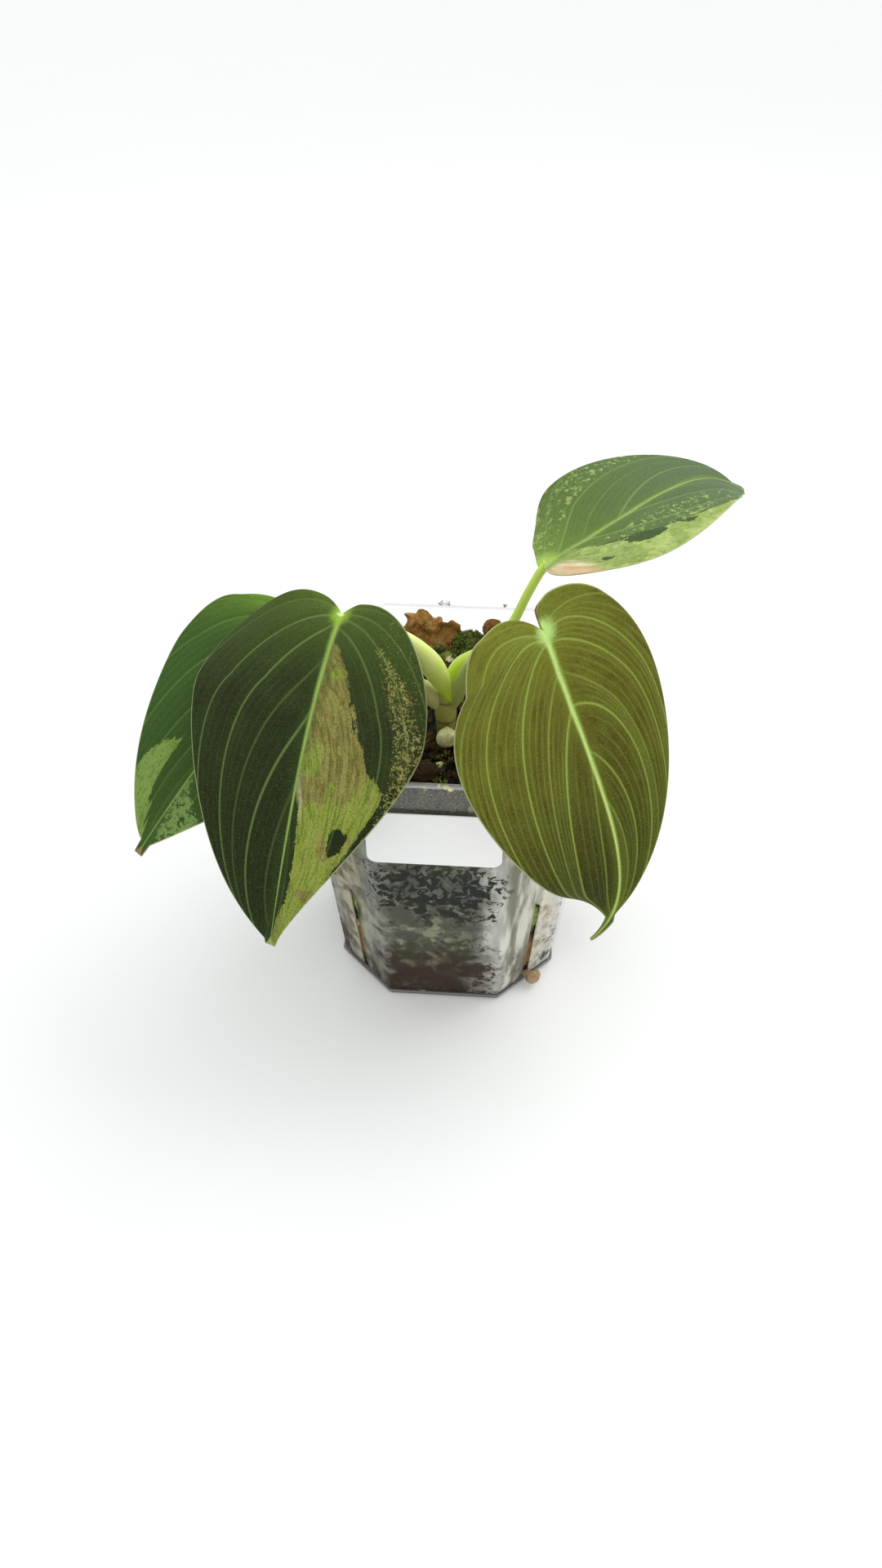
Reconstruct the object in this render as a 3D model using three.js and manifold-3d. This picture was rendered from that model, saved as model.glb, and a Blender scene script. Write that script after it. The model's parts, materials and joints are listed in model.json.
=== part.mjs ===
// Potted variegated philodendron: a clear square pot of wet bark mix with one short stem and four heart-shaped leaves.
// Millimetres, +Z up. The origin is the centre of the pot's underside, and the pot's front face looks towards -Y.

import * as THREE from 'three';
import { mergeVertices } from 'three/addons/utils/BufferGeometryUtils.js';
import Module from 'manifold-3d';

const wasm = await Module();
wasm.setup();

// Driving dimensions

const GAP = 0.3;                 // clearance between pieces that touch

const POT = {
  height: 100, lipWidth: 90, lipChamfer: 20.3, lipHeight: 1.5,
  bandHeight: 12, bandTopWidth: 88.4, bandFootWidth: 86.6, bandChamfer: 20.2,
  shoulderWidth: 85, shoulderChamfer: 20, baseWidth: 70, baseChamfer: 17.5,
  wall: 0.9, floor: 1.4, padWidth: 52, padHeight: 0.4,
};
const SHOULDER = POT.height - POT.bandHeight;
const SLOT = { width: 2.8, foot: 3, top: 41, point: 3 };
const DRAIN = { radius: 2.5, ring: 21, count: 8 };

const LABEL = { width: 38.5, height: 20.6, corner: 3, thickness: 0.35, centreX: -2.3, centreZ: 77.2 };

const MIX = { top: 88, rings: 8, pointsPerSide: 4, levels: 3 };
const STEM = { x: -1.6, y: -5.4, foot: 66, holeRadius: 3 };

const BLADE_THICKNESS = 0.8;

// Leaves. The midrib is a cubic curve from the petiole (first point) to the tip (last point).
// tilt turns the blade about its midrib, in degrees, from its base to its tip.
// fold lifts each half away from the midrib, and cup bends it down again with the square of its width.
// Each half's outline: sinus is the first handle and lobe the top of the basal lobe (sideways as a share of the half
// width, backwards as a share of the length), wide is the widest point (mm sideways, share of the length), shoulder is
// the handle below it, and taper the handle above the neck. neck and tipWidth shape the drip tip.

const LEAVES = {
  front_left: {
    midrib: [[-28.5, -16.9, 134], [-35.6, -39.7, 118.3], [-39.4, -62.2, 94.1], [-45.1, -69, 60.7]],
    tilt: [-15.7, 20.3], cup: 0.0039, fold: 0.088, neck: [1.9, 0.985], tipWidth: 1.5,
    right: { sinus: [0.1, 0.054], lobe: [0.39, 0.076], wide: [38, 0.255], shoulder: 0.12, taper: [0.49, 0.19] },
    left: { sinus: [0.145, 0.037], lobe: [0.22, 0.039], wide: [31.8, 0.34], shoulder: 0.255, taper: [0.09, 0.2] },
    petiole: [[-3.4, -5.7, 101.5, 2.9], [-5.5, -6.3, 111.5, 3.2], [-11.5, -8.2, 120, 2.5], [-20, -11.6, 127.5, 1.7],
      [-27, -15.2, 131.8, 1.6]],
  },
  upper_right: {
    midrib: [[24.4, 6.7, 137.3], [50.5, 12.7, 150.8], [67.3, 48.5, 152.8], [84.4, 49.6, 139.9]],
    tilt: [9.9, -11.6], cup: 0.0034, fold: 0.148, neck: [1.6, 0.985], tipWidth: 1.2,
    right: { sinus: [0.139, -0.001], lobe: [0.15, -0.002], wide: [24.4, 0.23], shoulder: 0.26, taper: [0.39, 0.05] },
    left: { sinus: [-0.05, 0.03], lobe: [0.36, 0.007], wide: [28.1, 0.26], shoulder: 0.55, taper: [-0.22, 0.19] },
    petiole: [[-0.4, -4.8, 102.5, 2.3], [2.5, -3.2, 110.4, 2.3], [8, -0.6, 115.2, 1.9], [16, 3.2, 121.8, 1.6],
      [21.5, 5.6, 131, 1.5], [24, 6.4, 135.6, 1.5]],
  },
  right: {
    midrib: [[24.8, -26.7, 137.4], [38.7, -32.9, 98.5], [58.1, -66.1, 85.8], [42, -60.8, 60.5]],
    tilt: [-15.4, 39.2], cup: 0.0019, fold: 0.135, neck: [1.3, 0.88], tipWidth: 0.4,
    right: { sinus: [0.267, 0.106], lobe: [0.545, 0.073], wide: [39.5, 0.268], shoulder: 0.44, taper: [0.64, 0.29] },
    left: { sinus: [-0.07, 0.06], lobe: [0.17, 0.07], wide: [29.3, 0.176], shoulder: 0.364, taper: [-0.18, 0.115] },
    petiole: [[1.6, -6.6, 97.5, 2.1], [2.8, -7.6, 106.5, 2.1], [6.5, -11, 116.5, 1.8], [14, -18, 127, 1.6],
      [22.4, -24.2, 134.6, 1.5]],
  },
  back_left: {
    midrib: [[-41.3, -2.1, 120], [-47.7, -13.1, 114.3], [-66.2, -28.5, 97.9], [-86.6, -45.5, 69.6]],
    tilt: [8.5, 23.9], cup: 0.0034, fold: 0.128, neck: [1.7, 0.965], tipWidth: 1.4,
    right: { sinus: [0.15, 0.08], lobe: [0.4, 0.09], wide: [30.9, 0.4], shoulder: 0.37, taper: [0.31, 0.06] },
    left: { sinus: [0.15, 0.08], lobe: [0.45, 0.12], wide: [29.2, 0.3], shoulder: 0.42, taper: [0.34, 0.185] },
    petiole: [[-4.6, -4.6, 95.5, 2.6], [-9, -4.2, 99.5, 2.8], [-17, -3.4, 106, 1.9], [-30, -2.4, 114.6, 1.6],
      [-39.6, -2, 118.6, 1.5]],
  },
};

// What lies on the mix, each resting on those after it: rounded pumice and bark nuggets, and curled bark flakes

const NUGGETS = [
  { name: 'pumice_front', at: [-0.6, -13.6, 91.2], radii: [3.2, 2.9, 3.2], seed: 3, colour: 0xb9b8a2 },
  { name: 'pumice_left', at: [-11.5, -16.5, 90], radii: [3.4, 2.8, 2.6], seed: 8, colour: 0xc3bfae },
  { name: 'pumice_right', at: [19, -12, 90.2], radii: [4, 3.4, 3], seed: 11, colour: 0xc8c4b4 },
  { name: 'pumice_back', at: [-26, 20, 90.8], radii: [3.6, 4, 3.2], seed: 15, colour: 0xbdb9a6 },
  { name: 'bark_ball', at: [11, 35.6, 97.4], radii: [3.5, 3.2, 3.3], seed: 21, colour: 0x8a5a3a },
  { name: 'moss_back', at: [3.4, 33.6, 92], radii: [5.6, 4.4, 4.2], seed: 24, colour: 0x5d7a2a },
  { name: 'bark_under_ball', at: [13.4, 35.4, 91.4], radii: [5, 4.2, 4.4], seed: 27, colour: 0x5a3a22 },
  { name: 'moss_left', at: [-28, 2, 89.6], radii: [5.4, 6, 3.4], seed: 31, colour: 0x4f6a26 },
  { name: 'bark_right', at: [27, 12, 90.4], radii: [6, 4.6, 3.6], seed: 35, colour: 0x4a2f1d },
  { name: 'bark_front', at: [-8, -27, 89.2], radii: [6.6, 4, 3], seed: 39, colour: 0x2f2117 },
];
const FLAKES = [
  { name: 'bark_flake_back', at: [-9.5, 36.4, 93.4], size: [17, 13], curl: 0.07, turn: [66, 4, -8], seed: 5 },
  { name: 'bark_flake_left', at: [-23, 33, 92.6], size: [12, 11], curl: 0.1, turn: [58, -16, 28], seed: 9 },
  { name: 'bark_flake_side', at: [31, -8, 90], size: [13, 9], curl: 0.06, turn: [12, 24, 70], seed: 13 },
];
const FLAKE_THICKNESS = 1.4;

// Small tools: vectors, seeded noise, closed shapes and booleans

const vec = (p) => new THREE.Vector3(...p);
const degrees = THREE.MathUtils.degToRad;
const blend = (a, b, k) => a + (b - a) * k;

// A number from 0 to 1 that depends only on its arguments
function chance(seed, index) {
  const wave = Math.sin(seed * 127.1 + index * 311.7) * 43758.5453;
  return wave - Math.floor(wave);
}

// Smooth lumps of about the given size, from -1 to 1
function lumps(x, y, z, seed, size) {
  const wave = (a, b, c, shift) => Math.sin((a * x + b * y + c * z) / size + seed * shift);
  return (wave(2.1, 1.3, 0.7, 1.7) + wave(-1.1, 2.3, 1.2, 2.9) + wave(0.8, -1.4, 2.2, 4.1)) / 3;
}

// A closed geometry from a list of triangles, without those that have collapsed to a line
function closedGeometry(triangles) {
  const positions = [];
  for (const [a, b, c] of triangles) {
    const collapsed = a.distanceToSquared(b) < 1e-9 || b.distanceToSquared(c) < 1e-9 || c.distanceToSquared(a) < 1e-9;
    if (!collapsed) positions.push(...a, ...b, ...c);
  }
  const geometry = new THREE.BufferGeometry();
  geometry.setAttribute('position', new THREE.Float32BufferAttribute(positions, 3));
  return mergeVertices(geometry, 1e-4);
}

function toSolid(source) {
  const bare = source.clone();
  bare.deleteAttribute('normal');
  bare.deleteAttribute('uv');
  const merged = mergeVertices(bare, 1e-4);
  const triVerts = Uint32Array.from(merged.index.array);
  const vertProperties = Float32Array.from(merged.attributes.position.array);
  return new wasm.Manifold(new wasm.Mesh({ numProp: 3, vertProperties, triVerts }));
}

function toGeometry(solid) {
  const { vertProperties, triVerts } = solid.getMesh();
  const geometry = new THREE.BufferGeometry();
  geometry.setAttribute('position', new THREE.Float32BufferAttribute(vertProperties, 3));
  geometry.setIndex(new THREE.Uint32BufferAttribute(triVerts, 1));
  return geometry;
}

// The largest body of a cut solid: scraps that a cut leaves are dropped
function largestBody(solid) {
  return solid.decompose().sort((a, b) => b.volume() - a.volume())[0];
}

// A solid skinned over rings of points, each ring anticlockwise seen against its direction of travel
function loft(rings) {
  const triangles = [];
  for (let r = 0; r + 1 < rings.length; r++) {
    const [low, high] = [rings[r], rings[r + 1]];
    for (let i = 0; i < low.length; i++) {
      const j = (i + 1) % low.length;
      triangles.push([low[i], low[j], high[j]], [low[i], high[j], high[i]]);
    }
  }
  const centre = (ring) => ring.reduce((sum, p) => sum.add(p), new THREE.Vector3()).divideScalar(ring.length);
  const [first, last] = [rings[0], rings.at(-1)];
  const [footCentre, headCentre] = [centre(first), centre(last)];
  for (let i = 0; i < first.length; i++) {
    const j = (i + 1) % first.length;
    triangles.push([footCentre, first[j], first[i]], [headCentre, last[i], last[j]]);
  }
  return closedGeometry(triangles);
}

// A slab over a grid of points: upper and under face, and a band round its edge.
// A row whose points all coincide closes to a point there.
function slab(rows, upperAt, underAt) {
  const triangles = [];
  const [last, width] = [rows.length - 1, rows[0].length - 1];
  const upper = rows.map((row) => row.map(upperAt));
  const under = rows.map((row) => row.map(underAt));
  for (let r = 0; r < last; r++) {
    for (let c = 0; c < width; c++) {
      const corners = (face) => [face[r][c], face[r][c + 1], face[r + 1][c + 1], face[r + 1][c]];
      const [a, b, d, e] = corners(upper);
      const [p, q, s, t] = corners(under);
      triangles.push([a, b, d], [a, d, e], [p, s, q], [p, t, s]);
    }
    triangles.push([upper[r][0], upper[r + 1][0], under[r + 1][0]], [upper[r][0], under[r + 1][0], under[r][0]]);
    triangles.push([upper[r][width], under[r + 1][width], upper[r + 1][width]],
      [upper[r][width], under[r][width], under[r + 1][width]]);
  }
  for (let c = 0; c < width; c++) {
    triangles.push([upper[0][c], under[0][c], upper[0][c + 1]], [upper[0][c + 1], under[0][c], under[0][c + 1]]);
    triangles.push([upper[last][c], upper[last][c + 1], under[last][c]],
      [upper[last][c + 1], under[last][c + 1], under[last][c]]);
  }
  return closedGeometry(triangles);
}

// Pot

function octagon(width, chamfer, z) {
  const [half, cut] = [width / 2, width / 2 - chamfer];
  const corners = [[cut, -half], [half, -cut], [half, cut], [cut, half], [-cut, half], [-half, cut], [-half, -cut],
    [-cut, -half]];
  return corners.map(([x, y]) => new THREE.Vector3(x, y, z));
}

// Width and chamfer of the tapering body at a height below the shoulder
function bodyAt(z) {
  const k = z / SHOULDER;
  return [blend(POT.baseWidth, POT.shoulderWidth, k), blend(POT.baseChamfer, POT.shoulderChamfer, k)];
}

// A ring moved inwards by an even distance from every face
function insetOctagon([width, chamfer], inset, z) {
  return octagon(width - 2 * inset, chamfer - inset * (2 - Math.SQRT2), z);
}

// The pot stands on a square pad, which rises very slightly to the edge of the octagonal underside
function potSolid() {
  const lipFoot = POT.height - POT.lipHeight;
  const band = [POT.bandTopWidth, POT.bandChamfer];
  const outer = loft([
    octagon(POT.padWidth, 0, 0),
    octagon(POT.baseWidth, POT.baseChamfer, POT.padHeight),
    octagon(POT.shoulderWidth, POT.shoulderChamfer, SHOULDER),
    octagon(POT.bandFootWidth, POT.bandChamfer, SHOULDER + 0.3),
    octagon(...band, lipFoot),
    octagon(POT.lipWidth, POT.lipChamfer, lipFoot + 0.3),
    octagon(POT.lipWidth, POT.lipChamfer, POT.height),
  ]);
  const inner = loft([
    insetOctagon(bodyAt(POT.floor), POT.wall, POT.floor),
    insetOctagon(bodyAt(SHOULDER), POT.wall, SHOULDER),
    insetOctagon([POT.bandFootWidth, POT.bandChamfer], POT.wall, SHOULDER + 1),
    insetOctagon(band, POT.wall, POT.height + 1),
  ]);
  let pot = toSolid(outer).subtract(toSolid(inner));
  for (const corner of [45, 135, 225, 315]) pot = pot.subtract(slotCutter(corner));
  for (let i = 0; i < DRAIN.count; i++) pot = pot.subtract(drainCutter((i + 0.5) * 360 / DRAIN.count));
  return pot;
}

// An upright slot with a pointed top, cut outwards through one chamfer
function slotCutter(corner) {
  const half = SLOT.width / 2;
  const shape = new THREE.Shape([
    new THREE.Vector2(-half, SLOT.foot), new THREE.Vector2(half, SLOT.foot),
    new THREE.Vector2(half, SLOT.top - SLOT.point), new THREE.Vector2(-half, SLOT.top),
  ]);
  const geometry = new THREE.ExtrudeGeometry(shape, { depth: 30, bevelEnabled: false });
  geometry.rotateX(Math.PI / 2);
  geometry.translate(0, -30, 0);
  geometry.rotateZ(degrees(corner));
  return toSolid(geometry);
}

function drainCutter(angle) {
  const geometry = new THREE.CylinderGeometry(DRAIN.radius, DRAIN.radius, 4 * POT.floor, 16);
  geometry.rotateX(Math.PI / 2);
  geometry.translate(DRAIN.ring * Math.cos(degrees(angle)), DRAIN.ring * Math.sin(degrees(angle)), 0);
  return toSolid(geometry);
}

function labelGeometry() {
  const [w, h, r] = [LABEL.width / 2, LABEL.height / 2, LABEL.corner];
  const shape = new THREE.Shape();
  shape.moveTo(-w + r, -h);
  shape.lineTo(w - r, -h);
  shape.absarc(w - r, -h + r, r, -Math.PI / 2, 0);
  shape.lineTo(w, h - r);
  shape.absarc(w - r, h - r, r, 0, Math.PI / 2);
  shape.lineTo(-w + r, h);
  shape.absarc(-w + r, h - r, r, Math.PI / 2, Math.PI);
  shape.lineTo(-w, -h + r);
  shape.absarc(-w + r, -h + r, r, Math.PI, 1.5 * Math.PI);
  const geometry = new THREE.ExtrudeGeometry(shape, { depth: LABEL.thickness, bevelEnabled: false, curveSegments: 5 });
  const lean = Math.atan2((POT.shoulderWidth - POT.baseWidth) / 2, SHOULDER);
  geometry.translate(0, 0, GAP);
  geometry.rotateX(Math.PI / 2 + lean);
  const [width] = bodyAt(LABEL.centreZ);
  geometry.translate(LABEL.centreX, -width / 2, LABEL.centreZ);
  return geometry;
}

// Potting mix: an even gap inside the pot's wall, a lumpy top and a plain hole for the stem

function mixRing(z, share) {
  const corners = insetOctagon(bodyAt(z), POT.wall + GAP, z);
  const points = [];
  corners.forEach((corner, i) => {
    const next = corners[(i + 1) % corners.length];
    for (let k = 0; k < MIX.pointsPerSide; k++) points.push(corner.clone().lerp(next, k / MIX.pointsPerSide));
  });
  return points.map((p) => new THREE.Vector3(p.x * share, p.y * share, z));
}

// The top is coarse and lumpy, heaped a little at the back and lowest along the front wall
function mixTop(x, y) {
  const heap = 2.4 * THREE.MathUtils.smoothstep(y, 5, 38) - 1.2 * THREE.MathUtils.smoothstep(-y, 20, 42);
  return MIX.top + heap + 1.5 * lumps(x, y, 0, 2, 7) + 0.8 * lumps(x, y, 0, 6, 3.6);
}

function mixGeometry() {
  const rings = [];
  const floor = POT.floor + GAP;
  for (let i = 0; i < MIX.levels; i++) rings.push(mixRing(blend(floor, MIX.top - 4, i / (MIX.levels - 1)), 1));
  for (let i = MIX.rings; i >= 1; i--) {
    const ring = mixRing(MIX.top - 4, i / (MIX.rings + 0.5));
    const edge = i === MIX.rings ? mixRing(MIX.top - 4, 1) : ring;
    rings.push(edge.map((p) => new THREE.Vector3(p.x, p.y, Math.min(mixTop(p.x, p.y), SHOULDER + 4))));
  }
  return loft(rings);
}

function stemHole() {
  const depth = MIX.top + 12 - STEM.foot;
  const geometry = new THREE.CylinderGeometry(STEM.holeRadius, STEM.holeRadius, depth, 16);
  geometry.rotateX(Math.PI / 2);
  geometry.translate(STEM.x, STEM.y, STEM.foot - GAP + depth / 2);
  return toSolid(geometry);
}

// A rounded stone, nugget or cushion of moss, grown evenly by a clearance where one is asked for
function nugget({ at, radii, seed }, clearance = 0) {
  const geometry = new THREE.IcosahedronGeometry(1, 2);
  const position = geometry.attributes.position;
  for (let i = 0; i < position.count; i++) {
    const p = new THREE.Vector3().fromBufferAttribute(position, i).normalize();
    const bulge = 1 + 0.13 * lumps(p.x, p.y, p.z, seed, 0.8);
    position.setXYZ(i, at[0] + p.x * (radii[0] * bulge + clearance), at[1] + p.y * (radii[1] * bulge + clearance),
      at[2] + p.z * (radii[2] * bulge + clearance));
  }
  return toSolid(geometry);
}

// A curled flake of bark with a ragged edge
function flake({ at, size, curl, turn, seed }, clearance = 0) {
  const [across, along] = [6, 4];
  const place = new THREE.Matrix4().makeRotationFromEuler(new THREE.Euler(...turn.map(degrees)));
  place.setPosition(vec(at));
  const half = FLAKE_THICKNESS / 2 + clearance;
  const rows = [];
  for (let j = 0; j <= along; j++) {
    const row = [];
    for (let i = 0; i <= across; i++) {
      const ragged = 1 - 0.16 * chance(seed, i * 7 + (j > along / 2 ? 3 : 0));
      const x = (i / across - 0.5) * (size[0] * (1 - 0.14 * chance(seed, j + 40)) + 2 * clearance);
      const y = (j / along - 0.5) * (size[1] * ragged + 2 * clearance);
      row.push(new THREE.Vector3(x, y, curl * x * x));
    }
    rows.push(row);
  }
  const offset = (side) => (p) => {
    const normal = new THREE.Vector3(-2 * curl * p.x, 0, 1).normalize();
    return p.clone().addScaledVector(normal, side * half).applyMatrix4(place);
  };
  return toSolid(slab(rows, offset(1), offset(-1)));
}

// A bit of bark caught in the foot of the right front slot: a lump outside and a tongue through the slot
function barkBitSolid() {
  const [width, chamfer] = bodyAt(4);
  const wallDistance = (width - chamfer) / Math.SQRT2;
  const lump = new THREE.IcosahedronGeometry(1, 2);
  lump.scale(1.9, 3, 2.1);
  lump.translate(wallDistance + 1.9 + GAP, 1.4, 3.4);
  const tongue = new THREE.BoxGeometry(3.4, SLOT.width - 2 * GAP - 0.2, 2.2);
  tongue.translate(wallDistance + 0.9, 0, 4.6);
  const bit = toSolid(lump).add(toSolid(tongue)).trimByPlane([0, 0, 1], 2 * GAP);
  return bit.rotate([0, 0, -45]);
}

// Stem and petioles

function roundRing(centre, across, up, radius, sides) {
  const ring = [];
  for (let i = 0; i < sides; i++) {
    const angle = i * 2 * Math.PI / sides;
    ring.push(centre.clone().addScaledVector(across, radius * Math.cos(angle))
      .addScaledVector(up, radius * Math.sin(angle)));
  }
  return ring;
}

function stemSolid(clearance = 0) {
  const profile = [[STEM.foot, 2], [STEM.foot + 6, 2.4], [MIX.top - 2, 2.4], [MIX.top + 3, 2], [MIX.top + 6, 2.5],
    [MIX.top + 9, 2.7], [MIX.top + 12, 2.4], [MIX.top + 15, 1.7], [MIX.top + 17, 0.8]];
  const [across, up] = [new THREE.Vector3(1, 0, 0), new THREE.Vector3(0, 1, 0)];
  const rings = profile.map(([z, radius]) =>
    roundRing(new THREE.Vector3(STEM.x, STEM.y, z), across, up, radius + clearance, 12));
  return toSolid(loft(rings));
}

// A petiole follows its points with the radius that each gives, and ends flat against the underside of its blade
function petioleSolid(leaf, clearance = 0) {
  const points = leaf.petiole.map((p) => new THREE.Vector3(p[0], p[1], p[2]));
  const radii = leaf.petiole.map((p) => p[3]);
  const seat = bladeFrame(leaf, 0.015);
  points.push(seat.point);
  radii.push(radii.at(-1));
  const curve = new THREE.CatmullRomCurve3(points);
  const steps = 4 * (points.length - 1);
  const rings = [];
  for (let i = 0; i <= steps; i++) {
    const at = i / steps * (points.length - 1);
    const k = Math.min(Math.floor(at), points.length - 2);
    const radius = blend(radii[k], radii[k + 1], at - k) + clearance;
    const travel = curve.getTangent(i / steps);
    const across = new THREE.Vector3(0, 1, 0).cross(travel).normalize();
    const up = travel.clone().cross(across).normalize();
    rings.push(roundRing(curve.getPoint(i / steps), across, up, radius, 8));
  }
  const below = seat.normal.clone().negate();
  const reach = below.dot(seat.point) + BLADE_THICKNESS / 2 + GAP;
  return toSolid(loft(rings)).trimByPlane([...below], reach);
}

// Leaf blades

// A point of the midrib with the blade's sideways and upward directions there. Behind the petiole it runs straight on.
function bladeFrame(leaf, along) {
  const curve = new THREE.CubicBezierCurve3(...leaf.midrib.map(vec));
  const inside = THREE.MathUtils.clamp(along, 0, 1);
  const [p0, p1, p2, p3] = leaf.midrib.map(vec);
  const back = 1 - inside;
  const slope = p1.clone().sub(p0).multiplyScalar(3 * back * back)
    .addScaledVector(p2.clone().sub(p1), 6 * back * inside)
    .addScaledVector(p3.clone().sub(p2), 3 * inside * inside);
  const point = curve.getPoint(inside).addScaledVector(slope, along - inside);
  const direction = slope.clone().normalize();
  const level = direction.clone().cross(new THREE.Vector3(0, 0, 1)).normalize();
  const upright = level.clone().cross(direction);
  const tilt = degrees(blend(leaf.tilt[0], leaf.tilt[1], along));
  const sideways = level.clone().multiplyScalar(Math.cos(tilt)).addScaledVector(upright, Math.sin(tilt));
  const normal = upright.multiplyScalar(Math.cos(tilt)).addScaledVector(level, -Math.sin(tilt));
  return { point, sideways, normal };
}

// A point of the blade, x mm beside the midrib, moved off its surface by a distance
function bladePoint(leaf, { x, y }, offset) {
  const { point, sideways, normal } = bladeFrame(leaf, y);
  const rise = leaf.fold * Math.abs(x) - leaf.cup * x * x;
  const steepness = leaf.fold * Math.sign(x) - 2 * leaf.cup * x;
  const facing = normal.clone().addScaledVector(sideways, -steepness).normalize();
  return point.addScaledVector(sideways, x).addScaledVector(normal, rise).addScaledVector(facing, offset);
}

// One half of the margin from the petiole, round the lobe and the widest point, to the neck and the tip.
// Each part of it comes with the share of the whole at which it ends.
function marginOf(leaf, half) {
  const [wideX, wideY] = half.wide;
  const [neckX, neckY] = leaf.neck;
  const lobe = [half.lobe[0] * wideX, -half.lobe[1]];
  const sinus = [half.sinus[0] * wideX, -half.sinus[1]];
  const curve = (...points) => new THREE.CubicBezierCurve(...points.map(([x, y]) => new THREE.Vector2(x, y)));
  const line = (a, b) => new THREE.LineCurve(new THREE.Vector2(...a), new THREE.Vector2(...b));
  const rise = neckY - wideY;
  return [
    { end: 0.2, path: curve([0, 0], sinus, [lobe[0] - 0.45 * (lobe[0] - sinus[0]), lobe[1]], lobe) },
    { end: 0.5, path: curve(lobe, [lobe[0] + 0.55 * (wideX - lobe[0]), lobe[1]],
      [wideX, wideY - 0.55 * (wideY + half.lobe[1])], half.wide) },
    { end: 0.92, path: curve(half.wide, [wideX, wideY + half.shoulder * rise],
      [neckX + half.taper[0] * wideX, neckY - half.taper[1] * rise], leaf.neck) },
    { end: 0.985, path: line(leaf.neck, [leaf.tipWidth, 1]) },
    { end: 1, path: line([leaf.tipWidth, 1], [0, 1]) },
  ];
}

function marginPoint(margin, s) {
  const index = margin.findIndex(({ end }) => s <= end);
  const start = index === 0 ? 0 : margin[index - 1].end;
  return margin[index].path.getPoint((s - start) / (margin[index].end - start));
}

const BLADE_ROWS = [0, 0.04, 0.08, 0.12, 0.16, 0.2, 0.26, 0.32, 0.38, 0.44, 0.5, 0.56, 0.62, 0.68, 0.74, 0.8, 0.86,
  0.92, 0.985, 1];
const BLADE_COLUMNS = [0, 0.18, 0.38, 0.58, 0.76, 0.9, 1];

// A row runs from the left margin over the midrib to the right margin, at one share of the way round both
function bladeGeometry(leaf) {
  const margins = { right: marginOf(leaf, leaf.right), left: marginOf(leaf, leaf.left) };
  const rows = BLADE_ROWS.map((s) => {
    const rib = s ** 2.2;
    const across = (side, sign) => {
      const edge = marginPoint(margins[side], s);
      return BLADE_COLUMNS.map((t) => ({ x: sign * t * edge.x, y: blend(rib, edge.y, t) }));
    };
    return [...across('left', -1).reverse(), ...across('right', 1).slice(1)];
  });
  const half = BLADE_THICKNESS / 2;
  return slab(rows, (p) => bladePoint(leaf, p, half), (p) => bladePoint(leaf, p, -half));
}

// Materials and assembly

function finish(color, roughness, options = {}) {
  return new THREE.MeshStandardMaterial({ color, roughness, metalness: 0, ...options });
}

const LEAF_COLOURS = { front_left: 0x2c3a1e, upper_right: 0x5c7a3c, right: 0x5b5a22, back_left: 0x3c6a2c };
const PETIOLE_COLOURS = { front_left: 0x9cc45a, upper_right: 0xa4cc4a, right: 0xa9b487, back_left: 0xcfcba6 };

const plant = new THREE.Group();

function addPiece(name, geometry, material) {
  const mesh = new THREE.Mesh(geometry, material);
  mesh.name = name;
  plant.add(mesh);
}

addPiece('pot', toGeometry(potSolid()), finish(0xdfe4e2, 0.15, { transparent: true, opacity: 0.35 }));
addPiece('label', labelGeometry(), finish(0xf4f4f2, 0.4));

// Each resting piece is kept whole where it lies on those after it, which are hollowed by its clearance
const resting = [
  ...NUGGETS.map((piece) => ({ ...piece, shape: nugget })),
  ...FLAKES.map((piece) => ({ ...piece, shape: flake, colour: 0x6b3f22 })),
];
let mix = toSolid(mixGeometry()).subtract(stemHole());
resting.forEach((piece, i) => {
  let solid = piece.shape(piece);
  for (const above of resting.slice(0, i)) solid = solid.subtract(above.shape(above, GAP));
  mix = mix.subtract(piece.shape(piece, GAP));
  addPiece(piece.name, toGeometry(largestBody(solid)), finish(piece.colour, 0.9));
});
addPiece('potting_mix', toGeometry(largestBody(mix)), finish(0x2b2118, 0.95));
addPiece('bark_bit', toGeometry(barkBitSolid()), finish(0x7a4a24, 0.8));

// The stem is whole, and each petiole is cut back to clear it and the petioles before it
addPiece('stem', toGeometry(stemSolid()), finish(0x8f9a66, 0.6));
const grown = [stemSolid(GAP)];
for (const [name, leaf] of Object.entries(LEAVES)) {
  let petiole = petioleSolid(leaf);
  for (const other of grown) petiole = petiole.subtract(other);
  grown.push(petioleSolid(leaf, GAP));
  addPiece(`petiole_${name}`, toGeometry(largestBody(petiole)), finish(PETIOLE_COLOURS[name], 0.5));
  addPiece(`leaf_${name}`, bladeGeometry(leaf), finish(LEAF_COLOURS[name], 0.65));
}

export default plant;
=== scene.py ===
"""Dresses the potted variegated philodendron: velvety blades with sunken veins, fleshy petioles, wet bark
mix with pumice and moss, and a clear square pot misted on its inside.

Sizes are millimetres unless a class says otherwise and become metres only when a mesh is made. The origin is
the centre of the pot's underside, +Z is up, and the pot's front face looks towards -Y.
"""

from __future__ import annotations

import json
import logging
import math
from dataclasses import dataclass, field
from enum import Enum
from typing import Callable, Sequence, Union

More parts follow.
